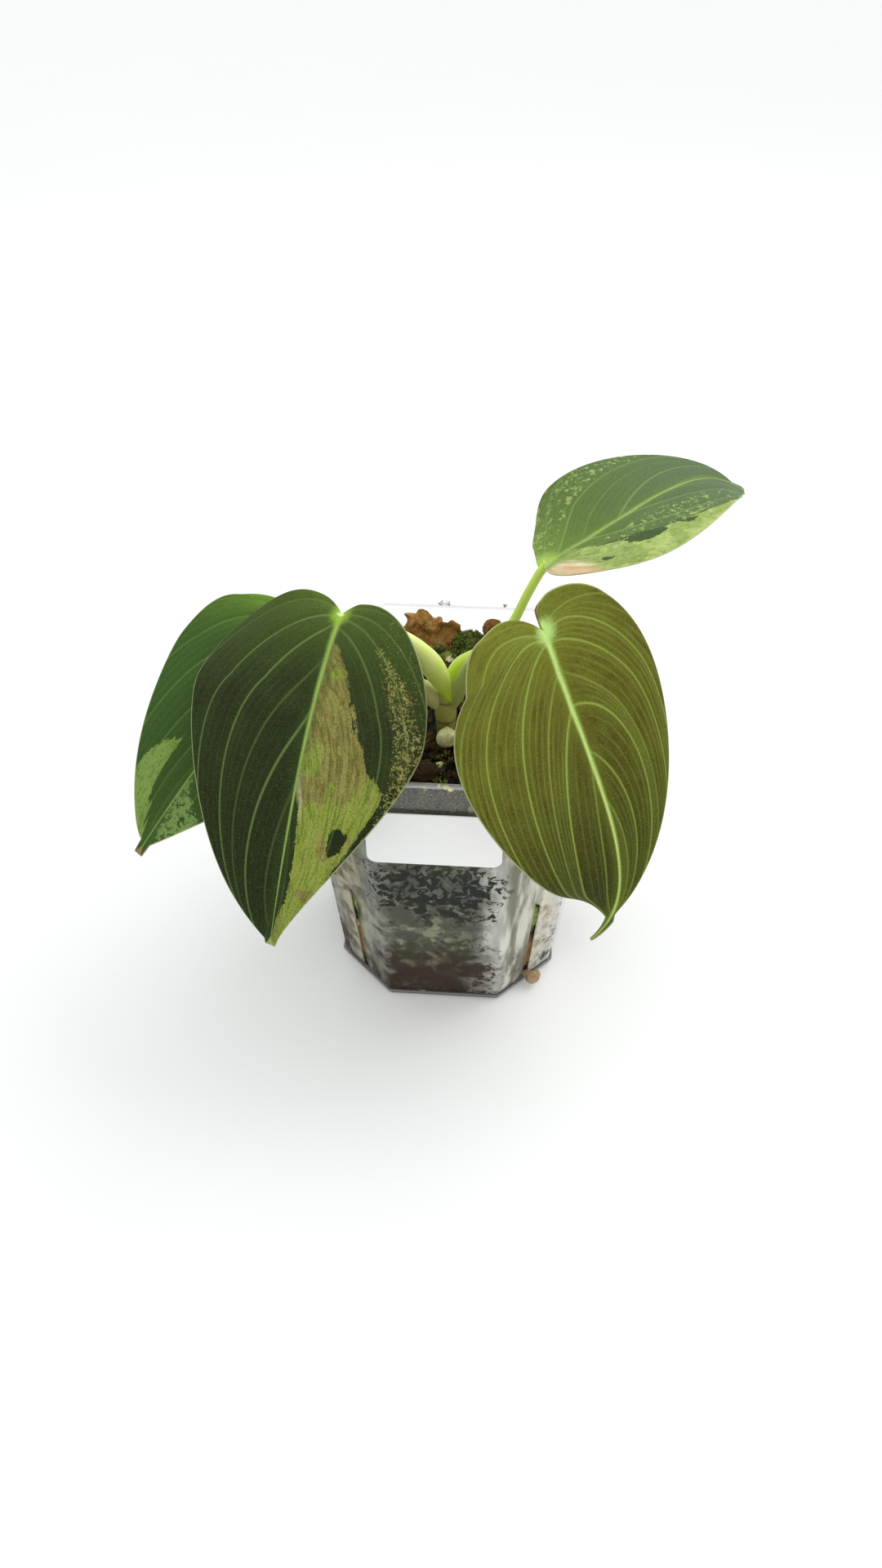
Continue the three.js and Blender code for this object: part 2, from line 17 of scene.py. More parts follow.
import bmesh
import bpy
import numpy as np
from mathutils import Euler, Vector, noise
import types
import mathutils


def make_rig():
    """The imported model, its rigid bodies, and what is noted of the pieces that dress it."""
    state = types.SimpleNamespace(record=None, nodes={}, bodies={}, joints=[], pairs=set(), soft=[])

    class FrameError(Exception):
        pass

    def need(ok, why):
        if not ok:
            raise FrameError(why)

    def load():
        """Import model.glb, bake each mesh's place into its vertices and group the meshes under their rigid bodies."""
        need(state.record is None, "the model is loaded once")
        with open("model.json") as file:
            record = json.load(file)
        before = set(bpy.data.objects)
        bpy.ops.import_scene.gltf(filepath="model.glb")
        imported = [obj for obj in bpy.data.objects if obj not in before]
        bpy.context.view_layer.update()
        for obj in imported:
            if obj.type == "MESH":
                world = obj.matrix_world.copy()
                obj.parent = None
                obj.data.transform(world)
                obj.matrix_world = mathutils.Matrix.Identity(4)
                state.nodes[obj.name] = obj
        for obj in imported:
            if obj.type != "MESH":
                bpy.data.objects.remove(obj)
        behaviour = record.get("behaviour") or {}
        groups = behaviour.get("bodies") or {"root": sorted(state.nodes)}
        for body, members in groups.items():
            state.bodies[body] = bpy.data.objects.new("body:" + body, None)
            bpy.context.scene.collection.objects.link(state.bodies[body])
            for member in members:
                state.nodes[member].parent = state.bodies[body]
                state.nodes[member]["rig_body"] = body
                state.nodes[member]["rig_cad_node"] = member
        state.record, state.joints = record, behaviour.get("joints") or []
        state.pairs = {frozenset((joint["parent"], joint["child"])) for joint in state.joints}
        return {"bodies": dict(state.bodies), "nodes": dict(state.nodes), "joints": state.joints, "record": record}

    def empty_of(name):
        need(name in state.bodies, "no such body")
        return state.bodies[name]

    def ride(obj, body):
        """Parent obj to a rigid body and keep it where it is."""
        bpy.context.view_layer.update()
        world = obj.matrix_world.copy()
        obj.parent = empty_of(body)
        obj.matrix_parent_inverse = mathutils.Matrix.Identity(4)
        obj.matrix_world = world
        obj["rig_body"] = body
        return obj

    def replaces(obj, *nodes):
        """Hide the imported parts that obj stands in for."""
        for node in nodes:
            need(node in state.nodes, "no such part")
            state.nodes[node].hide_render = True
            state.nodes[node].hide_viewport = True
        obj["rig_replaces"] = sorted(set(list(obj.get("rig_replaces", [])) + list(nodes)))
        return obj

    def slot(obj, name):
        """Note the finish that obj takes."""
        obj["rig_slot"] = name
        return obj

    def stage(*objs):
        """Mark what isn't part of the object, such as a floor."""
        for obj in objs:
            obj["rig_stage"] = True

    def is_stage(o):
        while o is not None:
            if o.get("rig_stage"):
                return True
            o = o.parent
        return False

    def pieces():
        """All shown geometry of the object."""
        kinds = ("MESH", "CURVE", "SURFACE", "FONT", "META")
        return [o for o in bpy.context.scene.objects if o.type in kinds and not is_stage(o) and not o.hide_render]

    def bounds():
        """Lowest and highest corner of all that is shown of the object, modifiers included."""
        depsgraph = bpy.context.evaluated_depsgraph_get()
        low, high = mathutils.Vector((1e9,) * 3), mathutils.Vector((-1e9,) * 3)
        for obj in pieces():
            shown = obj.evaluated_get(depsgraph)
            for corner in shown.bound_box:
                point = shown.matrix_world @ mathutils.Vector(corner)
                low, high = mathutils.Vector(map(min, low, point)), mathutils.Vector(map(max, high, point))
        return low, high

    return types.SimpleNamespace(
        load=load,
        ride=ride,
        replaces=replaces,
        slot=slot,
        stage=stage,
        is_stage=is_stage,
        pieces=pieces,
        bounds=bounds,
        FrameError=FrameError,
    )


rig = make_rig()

LOG = logging.getLogger("philodendron")

MM = 0.001
SQUARE_METRE = 1e6
BODY = "root"
SIZE_FILE = "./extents.json"
SLOT_CORNERS = (45, 135, 225, 315)

Pair = tuple[float, float]
Point = tuple[float, float, float]
Tint = tuple[float, float, float]
Array = np.ndarray
Material = bpy.types.Material
Piece = bpy.types.Object


# Curves, noise and small numeric tools


def smoothstep(values: Array | float, low: float, high: float) -> Array:
    """Returns the smooth rise from 0 at low to 1 at high."""
    share = np.clip((np.asarray(values, float) - low) / (high - low), 0, 1)
    return share * share * (3 - 2 * share)


def unit(vectors: Array) -> Array:
    """Returns the vectors, one to a row, each at length 1."""
    return vectors / np.maximum(np.linalg.norm(vectors, axis=-1, keepdims=True), 1e-12)


def compass(degrees: float) -> tuple[Array, Array]:
    """Returns the level direction at a bearing from +X, and the direction a quarter turn on."""
    turn = math.radians(degrees)
    return np.array((math.cos(turn), math.sin(turn), 0)), np.array((-math.sin(turn), math.cos(turn), 0))


def lumps(x: Array, y: Array, seed: float, size: float) -> Array:
    """Smooth lumps, the same as those of the solid mix.

    Args:
        x: Places along X in millimetres.
        y: Places along Y in millimetres.
        seed: Shifts the pattern.
        size: Size of one lump in millimetres.

    Returns:
        Heights from -1 to 1.
    """
    waves = ((2.1, 1.3, 1.7), (-1.1, 2.3, 2.9), (0.8, -1.4, 4.1))
    return sum(np.sin((a * x + b * y) / size + seed * shift) for a, b, shift in waves) / len(waves)


def bezier(points: Array, at: Array) -> Array:
    """Returns points of a cubic Bezier curve with the given four controls."""
    u = np.asarray(at, float)[..., None]
    back = 1 - u
    return back**3 * points[0] + 3 * back**2 * u * points[1] + 3 * back * u**2 * points[2] + u**3 * points[3]


def spline(points: Array, samples: int) -> Array:
    """A smooth curve through points, by centripetal Catmull-Rom.

    Args:
        points: The points that it passes through, with any further columns carried along.
        samples: How many points to return for each stretch between two points.

    Returns:
        The curve's points, the last of them on the last given point.
    """
    padded = np.vstack([2 * points[0] - points[1], points, 2 * points[-1] - points[-2]])
    gaps = np.sqrt(np.maximum(np.linalg.norm(np.diff(padded[:, :3], axis=0), axis=1), 1e-6))
    knots = np.concatenate([[0], np.cumsum(gaps)])
    stretches = []
    for i in range(1, len(padded) - 2):
        t = np.linspace(knots[i], knots[i + 1], samples, endpoint=False)[:, None]

        def between(a: Array, b: Array, low: int, high: int) -> Array:
            """Returns the blend of two points over two knots."""
            return ((knots[high] - t) * a + (t - knots[low]) * b) / (knots[high] - knots[low])

        sides = [between(padded[k], padded[k + 1], k, k + 1) for k in (i - 1, i, i + 1)]
        left = between(sides[0], sides[1], i - 1, i + 1)
        right = between(sides[1], sides[2], i, i + 2)
        stretches.append(between(left, right, i, i + 1))
    stretches.append(padded[-2][None])
    return np.vstack(stretches)


def rough_noise(points: Array, size: float, seed: float, octaves: int = 3) -> Array:
    """Layered noise at places in millimetres, about -1 to 1, with lumps of the given size."""
    shift = Vector((seed * 17.3, seed * 5.1, seed * 9.7))
    return np.array([noise.fractal(Vector(p) / size + shift, 0.9, 2.1, octaves) for p in points.tolist()])


# Meshes


def linked(name: str, data: bpy.types.ID) -> Piece:
    """Returns a new object of the scene with the given data."""
    piece = bpy.data.objects.new(name, data)
    bpy.context.scene.collection.objects.link(piece)
    return piece


def tag(mesh: bpy.types.Mesh, name: str, values: Array | float) -> None:
    """Stores a value on each vertex of a mesh, or one number on all of them."""
    layer = mesh.attributes.new(name, "FLOAT", "POINT")
    layer.data.foreach_set("value", np.full(len(mesh.vertices), values, np.float32))


def vertex_rows(piece: Piece, name: str) -> Array:
    """Returns three numbers of each vertex, such as its co or its normal, one vertex to a row."""
    flat = np.zeros(len(piece.data.vertices) * 3, np.float32)
    piece.data.vertices.foreach_get(name, flat)
    return flat.reshape(-1, 3).astype(float)


def coordinates(piece: Piece) -> Array:
    """Returns a piece's vertices in millimetres, one to a row."""
    return vertex_rows(piece, "co") / MM


def move_vertices(piece: Piece, points: Array) -> None:
    """Puts a piece's vertices at the given places, in millimetres."""
    piece.data.vertices.foreach_set("co", (points * MM).astype(np.float32).ravel())
    piece.data.update()


def applied(piece: Piece) -> Piece:
    """Bakes a piece's modifiers into its mesh and removes them.

    Args:
        piece: The piece with live modifiers.

    Returns:
        The same object, with a plain mesh.
    """
    graph = bpy.context.evaluated_depsgraph_get()
    graph.update()
    evaluated = piece.evaluated_get(graph)
    mesh = bpy.data.meshes.new_from_object(evaluated, preserve_all_data_layers=True, depsgraph=graph)
    piece.modifiers.clear()
    spent = piece.data
    piece.data = mesh
    mesh.name = piece.name
    bpy.data.meshes.remove(spent)
    return piece


def settle(piece: Piece, slot: str, *nodes: str) -> Piece:
    """Says which body a finished piece rides on, its material slot and the solids that it stands for."""
    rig.ride(piece, BODY)
    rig.slot(piece, slot)
    if nodes:
        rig.replaces(piece, *nodes)
    LOG.info("%s: %d faces", piece.name, len(piece.data.polygons))
    return piece


@dataclass
class Shell:
    """A closed mesh being put together, in millimetres, with float values on its vertices."""

    vertices: list[Array] = field(default_factory=list)
    faces: list[tuple[int, ...]] = field(default_factory=list)
    values: dict[str, Array | float] = field(default_factory=dict)

    def add(self, points: Array) -> int:
        """Adds rows of points and returns the index of the first."""
        start = sum(map(len, self.vertices))
        self.vertices.append(np.asarray(points, float).reshape(-1, 3))
        return start

    def loft(self, rings: Sequence[Array], closed: bool = True) -> None:
        """Skins a tube over rings of equal length, with a fan over each end if it is to be closed."""
        starts = [self.add(ring) for ring in rings]
        sides = len(rings[0])
        steps = [(i, (i + 1) % sides) for i in range(sides)]
        for low, high in zip(starts, starts[1:]):
            self.faces += [(low + i, low + j, high + j, high + i) for i, j in steps]
        if closed:
            foot, head = starts[0], starts[-1]
            foot_centre, head_centre = self.add(rings[0].mean(axis=0)), self.add(rings[-1].mean(axis=0))
            self.faces += [(foot + j, foot + i, foot_centre) for i, j in steps]
            self.faces += [(head + i, head + j, head_centre) for i, j in steps]

    def include(self, other: "Shell", place: Sequence[float], turn: float = 0.0) -> None:
        """Adds a copy of another shell, turned about Z by radians and then moved."""
        cosine, sine = math.cos(turn), math.sin(turn)
        turned = np.vstack(other.vertices) @ np.array([(cosine, sine, 0), (-sine, cosine, 0), (0, 0, 1)])
        start = self.add(turned + np.array(place))
        self.faces += [tuple(start + index for index in face) for face in other.faces]

    def to_object(self, name: str, material: Material, smooth: bool = True) -> Piece:
        """Makes the mesh an object at the origin.

        Args:
            name: The piece's name.
            material: Its finish.
            smooth: Whether its faces are shaded smoothly.

        Returns:
            The linked object, its vertices in metres.
        """
        mesh = bpy.data.meshes.new(name)
        mesh.from_pydata((np.vstack(self.vertices) * MM).tolist(), [], self.faces)
        for key, values in self.values.items():
            tag(mesh, key, values)
        mesh.polygons.foreach_set("use_smooth", [smooth] * len(mesh.polygons))
        mesh.materials.append(material)
        mesh.validate()
        return linked(name, mesh)


# Nodes and shader expressions


Value = Union["Field", float]
Colour = Union["Field", Tint]
Stop = tuple[float, Tint]
Settings = dict[str, object]
Inputs = dict[Union[int, str], object]
Outputs = bpy.types.bpy_prop_collection


def add_node(
    tree: bpy.types.NodeTree, kind: str, settings: Settings | None = None, inputs: Inputs | None = None
) -> bpy.types.Node:
    """Adds a node to a tree.

    Args:
        tree: The shader's or the geometry's tree.
        kind: The node's type.
        settings: What is set on the node first. The key stops sets a ramp's places and colours.
        inputs: A value or an output to link for each socket, by name or number.

    Returns:
        The node.
    """
    node = tree.nodes.new(kind)
    for key, value in (settings or {}).items():
        if key == "stops":
            set_stops(node.color_ramp, value)
        else:
            setattr(node, key, value)
    for key, value in (inputs or {}).items():
        socket = node.inputs[key]
        if isinstance(value, bpy.types.NodeSocket):
            tree.links.new(value, socket)
        elif socket.type == "RGBA":
            socket.default_value = (*value, 1.0)[:4]
        else:
            socket.default_value = value
    return node


def set_stops(ramp: bpy.types.ColorRamp, stops: Sequence[Stop]) -> None:
    """Gives a colour ramp its places and colours."""
    while len(ramp.elements) < len(stops):
        ramp.elements.new(1.0)
    for element, (place, colour) in zip(ramp.elements, stops):
        element.position = place
        element.color = (*colour, 1.0)


def operator(operation: str, reflected: bool = False) -> Callable[["Field", Value], "Field"]:
    """Returns the method for a Python operator that adds a Math node."""

    def apply(self: "Field", other: Value) -> "Field":
        """Adds the Math node, with the operands swapped where the operator is reflected."""
        return self.math(operation, *((other, self) if reflected else (self, other)))

    return apply


class Field:
    """An output socket that takes part in Python expressions by adding Math nodes."""

    def __init__(self, paint: "Paint", socket: bpy.types.NodeSocket) -> None:
        """Wraps a socket of the paint's tree."""
        self.paint = paint
        self.socket = socket

    def math(self, operation: str, *values: Value) -> "Field":
        """Returns a Math node's result."""
        return self.paint.node("ShaderNodeMath", {"operation": operation}, dict(enumerate(values)))

    __add__ = operator("ADD")
    __radd__ = operator("ADD", True)
    __sub__ = operator("SUBTRACT")
    __rsub__ = operator("SUBTRACT", True)
    __mul__ = operator("MULTIPLY")
    __rmul__ = operator("MULTIPLY", True)
    __truediv__ = operator("DIVIDE")
    __rtruediv__ = operator("DIVIDE", True)
    least = operator("MINIMUM")
    most = operator("MAXIMUM")

    def __abs__(self) -> "Field":
        """Returns the size without its sign."""
        return self.math("ABSOLUTE", self)

    def __round__(self) -> "Field":
        """Returns the nearest whole number."""
        return self.math("ROUND", self)

    def rise(self, low: Value, high: Value) -> "Field":
        """Returns a smooth rise from 0 at low to 1 at high."""
        limits = {"Value": self, "From Min": low, "From Max": high, "To Min": 0.0, "To Max": 1.0}
        return self.paint.node("ShaderNodeMapRange", {"interpolation_type": "SMOOTHSTEP"}, limits)

    def fall(self, low: Value, high: Value) -> "Field":
        """Returns a smooth fall from 1 at low to 0 at high."""
        return 1 - self.rise(low, high)


class Paint:
    """One material whose nodes are added by Python expressions."""

    def __init__(self, name: str) -> None:
        """Starts an empty material of the given name."""
        self.material = bpy.data.materials.new(name)
        self.material.use_nodes = True
        self.tree = self.material.node_tree
        self.tree.nodes.clear()
        self.place = self.node("ShaderNodeTexCoord", output="Object")

    def node(
        self,
        kind: str,
        settings: Settings | None = None,
        inputs: Inputs | None = None,
        output: int | str = 0,
    ) -> Field:
        """Adds a node, whose inputs may be Fields, and returns the output that is wanted as a Field."""
        given = (inputs or {}).items()
        plain = {key: value.socket if isinstance(value, Field) else value for key, value in given}
        return Field(self, add_node(self.tree, kind, settings, plain).outputs[output])

    def attribute(self, name: str) -> Field:
        """Returns a value that is stored on the piece's vertices."""
        return self.node("ShaderNodeAttribute", {"attribute_name": name}, output="Fac")

    def part(self, axis: str) -> Field:
        """Returns one object coordinate in millimetres."""
        return self.node("ShaderNodeSeparateXYZ", None, {0: self.place}, axis) / MM

    def vector(self, x: Value, y: Value, z: Value = 0.0) -> Field:
        """Returns a vector of three values."""
        return self.node("ShaderNodeCombineXYZ", None, {0: x, 1: y, 2: z})

    def stretched(self, x: float, y: float, z: float) -> Field:
        """Returns the object coordinates in millimetres, scaled along each axis."""
        scale = (x / MM, y / MM, z / MM)
        return self.node("ShaderNodeVectorMath", {"operation": "MULTIPLY"}, {0: self.place, 1: scale})

    def noise(
        self,
        size: float,
        detail: float = 3.0,
        rough: float = 0.55,
        at: Field | None = None,
        twist: float = 0.0,
    ) -> Field:
        """Returns noise from 0 to 1, with lumps of a size in millimetres, or in the units of at."""
        scale = 1 / (size * MM) if at is None else 1 / size
        pattern = {"Scale": scale, "Detail": detail, "Roughness": rough, "Distortion": twist}
        return self.node("ShaderNodeTexNoise", None, {"Vector": at or self.place, **pattern})

    def cells(self, size: float) -> Field:
        """Returns the distance to the middles of cells of a size in millimetres."""
        pattern = {"Vector": self.place, "Scale": 1 / (size * MM)}
        return self.node("ShaderNodeTexVoronoi", None, pattern, "Distance")

    def mix(self, share: Value, below: Colour, above: Colour) -> Field:
        """Returns the colour below, covered by the colour above where share is 1."""
        return self.node("ShaderNodeMix", {"data_type": "RGBA"}, {0: share, 6: below, 7: above}, 2)

    def ramp(self, value: Field, *stops: Stop) -> Field:
        """Returns a colour ramp over a value."""
        return self.node("ShaderNodeValToRGB", {"stops": stops}, {0: value})

    def bump(self, height: Field, depth: float) -> Field:
        """Returns a normal bent by a height, whose full range is a depth in millimetres."""
        bend = {"Height": height, "Distance": depth * MM, "Strength": 1.0}
        return self.node("ShaderNodeBump", None, bend, "Normal")

    def finish(self, **sockets: object) -> Material:
        """Sets the shader's sockets, whose spaces are written as underscores, and returns the material."""
        named = {key.replace("_", " "): value for key, value in sockets.items()}
        shader = self.node("ShaderNodeBsdfPrincipled", None, named)
        add_node(self.tree, "ShaderNodeOutputMaterial", None, {"Surface": shader.socket})
        return self.material


# Finishes


@dataclass(frozen=True)
class VelvetBlade:
    """A blade with sunken pale veins, a bright insertion, a fine pale margin and patches of paler tissue."""

    name: str
    # base, the colour at the blade's foot, is set lighter partly as painted light and sheen.
    base: Tint
    middle: Tint
    tip: Tint
    between: Tint
    vein: Tint
    rib: Tint
    insertion: Tint
    pale: Tint = (0.25, 0.33, 0.06)
    pale_brown: Tint = (0.2, 0.19, 0.04)
    marble: Tint = (0.36, 0.38, 0.13)
    blush: Tint = (0.8, 0.5, 0.33)
    under: Tint = (0.2, 0.28, 0.1)
    under_rib: Tint = (0.42, 0.5, 0.2)
    cut: Tint = (0.3, 0.36, 0.12)
    rib_width: float = 1.5
    rib_taper: float = 0.85
    insertion_reach: float = 9.0
    dark: Tint = (0.014, 0.02, 0.006)
    vein_glow: float = 0.35
    minor_glow: float = 0.05
    weave: float = 0.5
    marble_grain: float = 1.0
    roughness: float = 0.6

    def material(self) -> Material:
        """Builds the finish."""
        p = Paint(self.name)
        across, along = p.attribute("across"), p.attribute("along")
        q, pitch, strength = p.attribute("vein"), p.attribute("pitch"), p.attribute("strength")
        out = abs(across)
        fine = p.noise(0.5, 2.0)
        cloud = p.noise(9.0, 4.0)
        distance = abs(q - round(q)) * pitch
        width = 0.5 - 0.22 * out
        vein = distance.fall(width * 0.2, width * 1.25) * strength
        halo = distance.fall(0.0, 3.4) * strength
        minor = (abs(q * 4 - round(q * 4)) * pitch * 0.25).fall(0.05, 0.5) * out.rise(0.05, 0.3)
        rib_half = self.rib_width * (1.1 - self.rib_taper * along) * (0.85 + 0.3 * fine)
        rib_distance = abs(p.attribute("rib")) + out.rise(0.3, 0.9) * along.fall(0.05, 0.25) * 5.0
        rib = rib_distance.fall(rib_half * 0.15, rib_half * 0.85)
        rib_halo = rib_distance.fall(rib_half, rib_half + 3.5)
        ragged_foot = p.attribute("insertion") + (fine - 0.5) * 2.5
        centre = ragged_foot.fall(self.insertion_reach * 0.2, self.insertion_reach)

        # Lighter at the foot than towards the tip: the lighter foot is partly painted light and sheen, where the blade
        # turns up into the light.
        body = p.ramp(along, (0.14, self.base), (0.5, self.middle), (0.92, self.tip))
        lighter = p.mix(along.rise(0.4, 0.85) * 0.85, self.between, self.tip)
        body = p.mix((cloud - 0.42) * 1.3, body, lighter)
        thread = p.noise(0.09, 3.0, 0.6, p.vector(q, out * 0.9, along * 0.9))
        body = p.mix(thread.rise(0.5, 0.7) * (0.32 * self.weave), body, lighter)
        body = p.mix(thread.fall(0.3, 0.5) * (0.38 * self.weave), body, self.tip)
        fade = 1 - 0.6 * along.rise(0.5, 0.9)
        body = p.mix(halo * fade * self.vein_glow, body, lighter)
        body = p.mix(minor * fade * self.minor_glow, body, self.vein)
        streak = p.noise(0.3, 4.0, 0.65, p.vector(q, out * 0.8, along * 0.4))
        speckle = p.noise(1.1 * self.marble_grain, 4.0, 0.75)
        ragged = (streak - 0.5) * 7.0 + (speckle - 0.5) * 2.4
        pale_patch = (p.attribute("pale") + ragged).rise(-0.12, 0.12)
        brown = streak * 0.5 + thread * 0.5 + cloud * 2.4 - out * 0.2 - along.rise(0.6, 0.8) * 0.3
        fleck = p.noise(0.55 * self.marble_grain, 4.0, 0.75)
        pale_tone = p.mix(brown.rise(1.37, 1.52), self.pale, self.pale_brown)
        pale_tone = p.mix(thread.rise(0.5, 0.6) * 0.45, pale_tone, self.marble)
        pale_tone = p.mix(thread.fall(0.38, 0.48) * 0.5, pale_tone, self.between)
        pale_tone = p.mix(fleck.rise(0.52, 0.62) * 0.5, pale_tone, self.between)
        pale_tone = p.mix(fleck.fall(0.36, 0.46) * 0.45, pale_tone, self.marble)
        body = p.mix(pale_patch, body, pale_tone)
        dark_patch = (p.attribute("dark") + (streak - 0.5) * 2.0 + (speckle - 0.5) * 2.0).rise(-0.12, 0.12)
        body = p.mix(dark_patch, body, self.dark)
        share = p.attribute("marble") * 0.05 + streak * 0.15 + speckle * 0.5 + fleck * 0.35
        golden = p.mix(thread.rise(0.35, 0.55) * 0.8, self.marble, self.pale_brown)
        body = p.mix(share.rise(0.525, 0.565) * p.attribute("marble").rise(-2.0, -0.5), body, golden)
        blush = (p.attribute("blush") + ragged).rise(-2.0, 2.0)
        body = p.mix(blush * 0.85, body, p.mix(streak.rise(0.4, 0.6), self.blush, (0.86, 0.78, 0.52)))
        body = p.mix(vein * 0.6, body, self.vein)
        body = p.mix(rib_halo * 0.3 + centre * 0.5, body, self.between)
        edged = rib_distance.fall(rib_half * 0.5, rib_half * 1.4)
        body = p.mix(edged * 0.6, body, self.vein)
        body = p.mix(rib * (0.95 - 0.35 * along) * (0.75 + 0.5 * fine), body, self.rib)
        body = p.mix(centre * 0.9, body, self.insertion)
        grain = p.noise(0.28, 2.0)
        body = p.mix((grain - 0.5).rise(0.0, 0.2) * 0.16, body, self.vein)
        body = p.mix((0.5 - grain).rise(0.0, 0.2) * 0.3, body, (0.01, 0.012, 0.004))
        margin = p.attribute("edge").fall(0.14, 0.42) * p.attribute("insertion").rise(4.0, 9.0)
        body = p.mix(margin * 0.7, body, (0.5, 0.55, 0.28))
        body = p.mix(along.rise(0.982, 0.992), body, self.cut)

        deeper = tuple(c * 0.72 for c in self.under)
        shade = p.mix((cloud * 0.6 + fine * 0.3).rise(0.3, 0.7), self.under, deeper)
        shade = p.mix(vein.most(rib).most(centre) * 0.8, shade, self.under_rib)
        colour = p.mix(p.attribute("under").rise(0.45, 0.55), body, shade)

        relief = fine * 0.35 + grain * 0.4 + distance.fall(0.0, 1.1) * strength * -0.6
        return p.finish(
            Base_Color=colour,
            Roughness=self.roughness + vein * -0.06 + (fine - 0.5) * 0.12,
            Normal=p.bump(relief, 0.07),
            Specular_IOR_Level=0.05,
            Sheen_Weight=0.01,
            Sheen_Roughness=0.5,
        )


@dataclass(frozen=True)
class Flesh:
    """The smooth waxy skin of a stem, petiole or sheath, with fine lengthwise lines."""

    name: str
    low: Tint
    high: Tint
    blotch: Tint
    blotches: float = 0.2

    def material(self) -> Material:
        """Builds the finish."""
        p = Paint(self.name)
        along, turn = p.attribute("along"), p.attribute("turn")
        lines = p.noise(0.05, 2.0, 0.6, p.vector(turn, along * 0.25))
        cloud = p.noise(3.0, 3.0)
        colour = p.mix((along + (cloud - 0.5) * 0.5).rise(0.05, 0.75), self.low, self.high)
        colour = p.mix((lines - 0.5) * 0.8, colour, tuple(c * 0.75 for c in self.low))
        colour = p.mix(p.noise(1.6, 4.0, 0.7).rise(0.6, 0.7) * self.blotches, colour, self.blotch)
        colour = p.mix(p.attribute("scar") * 0.75, colour, self.blotch)
        colour = p.mix(p.attribute("wing") * 0.8, colour, (0.72, 0.76, 0.5))
        relief = lines * 0.5 + p.noise(0.4, 2.0) * 0.5
        return p.finish(
            Base_Color=colour,
            Roughness=0.34 + cloud * 0.16,
            Normal=p.bump(relief, 0.06),
            Specular_IOR_Level=0.25,
            Subsurface_Weight=0.12,
            Subsurface_Radius=(0.9, 1.0, 0.2),
            Subsurface_Scale=0.0015,
        )


@dataclass(frozen=True)
class Bark:
    """Wet bark: fibrous red-brown with darker cracks and a damp shine, each chip of its own tone."""

    name: str
    dark: Tint
    mid: Tint
    light: Tint
    grain: Point = (1.0, 1.0, 2.6)
    wet: float = 0.5

    def material(self) -> Material:
        """Builds the finish."""
        p = Paint(self.name)
        fibre = p.noise(0.9, 5.0, 0.65, p.stretched(*self.grain), 0.6)
        lump = p.noise(2.4, 3.0)
        tone = p.attribute("tone")
        share = fibre * 0.55 + lump * 0.35 + (tone - 0.5) * 0.55
        colour = p.ramp(share, (0.24, self.dark), (0.46, self.mid), (0.72, self.light))
        moist = p.noise(3.0, 2.0).rise(0.42, 0.6)
        return p.finish(
            Base_Color=colour,
            Roughness=0.78 - moist * self.wet,
            Normal=p.bump(fibre + p.noise(0.35, 3.0) * 0.4, 0.45),
            Specular_IOR_Level=0.12,
        )


@dataclass(frozen=True)
class Pumice:
    """Pale porous stone, stained by the mix around it."""

    name: str = "pumice"

    def material(self) -> Material:
        """Builds the finish."""
        p = Paint(self.name)
        pores = p.cells(0.55).rise(0.12, 0.42)
        cloud = p.noise(2.2, 4.0, 0.6)
        share = cloud + (p.attribute("tone") - 0.5) * 0.2
        # The stops are pale partly as painted light, for stones that lie in shade on the mix.
        stops = (0.3, (0.52, 0.52, 0.18)), (0.5, (0.88, 0.88, 0.44)), (0.75, (0.93, 0.93, 0.66))
        colour = p.ramp(share, *stops)
        colour = p.mix((1 - pores) * 0.3, colour, (0.2, 0.19, 0.08))
        relief = pores * 0.6 + p.noise(0.3, 3.0) * 0.4
        return p.finish(Base_Color=colour, Roughness=0.86, Normal=p.bump(relief, 0.22))


@dataclass(frozen=True)
class Moss:
    """Damp moss, patchy from nearly black to yellow-green."""

    name: str = "moss"

    def material(self) -> Material:
        """Builds the finish."""
        p = Paint(self.name)
        tone = p.attribute("tone")
        cloud = p.noise(1.8, 4.0, 0.65)
        share = cloud * 0.7 + tone * 0.35
        stops = (0.3, (0.02, 0.026, 0.004)), (0.52, (0.09, 0.13, 0.016)), (0.78, (0.3, 0.37, 0.06))
        colour = p.ramp(share, *stops)
        return p.finish(Base_Color=colour, Roughness=0.74, Normal=p.bump(p.noise(0.3, 3.0), 0.3))


@dataclass(frozen=True)
class WetCore:
    """The dark wet fines between the chips, seen through the wall as brown, olive and black."""

    name: str = "wet_mix"

    def material(self) -> Material:
        """Builds the finish."""
        p = Paint(self.name)
        blotch = p.noise(7.0, 5.0, 0.6, None, 0.4)
        crumb = p.noise(1.2, 4.0, 0.7)
        stops = (0.3, (0.006, 0.004, 0.002)), (0.5, (0.022, 0.016, 0.008)), (0.72, (0.075, 0.055, 0.022))
        colour = p.ramp(blotch * 0.6 + crumb * 0.4, *stops)
        return p.finish(Base_Color=colour, Roughness=0.6, Normal=p.bump(crumb, 0.8), Specular_IOR_Level=0.2)


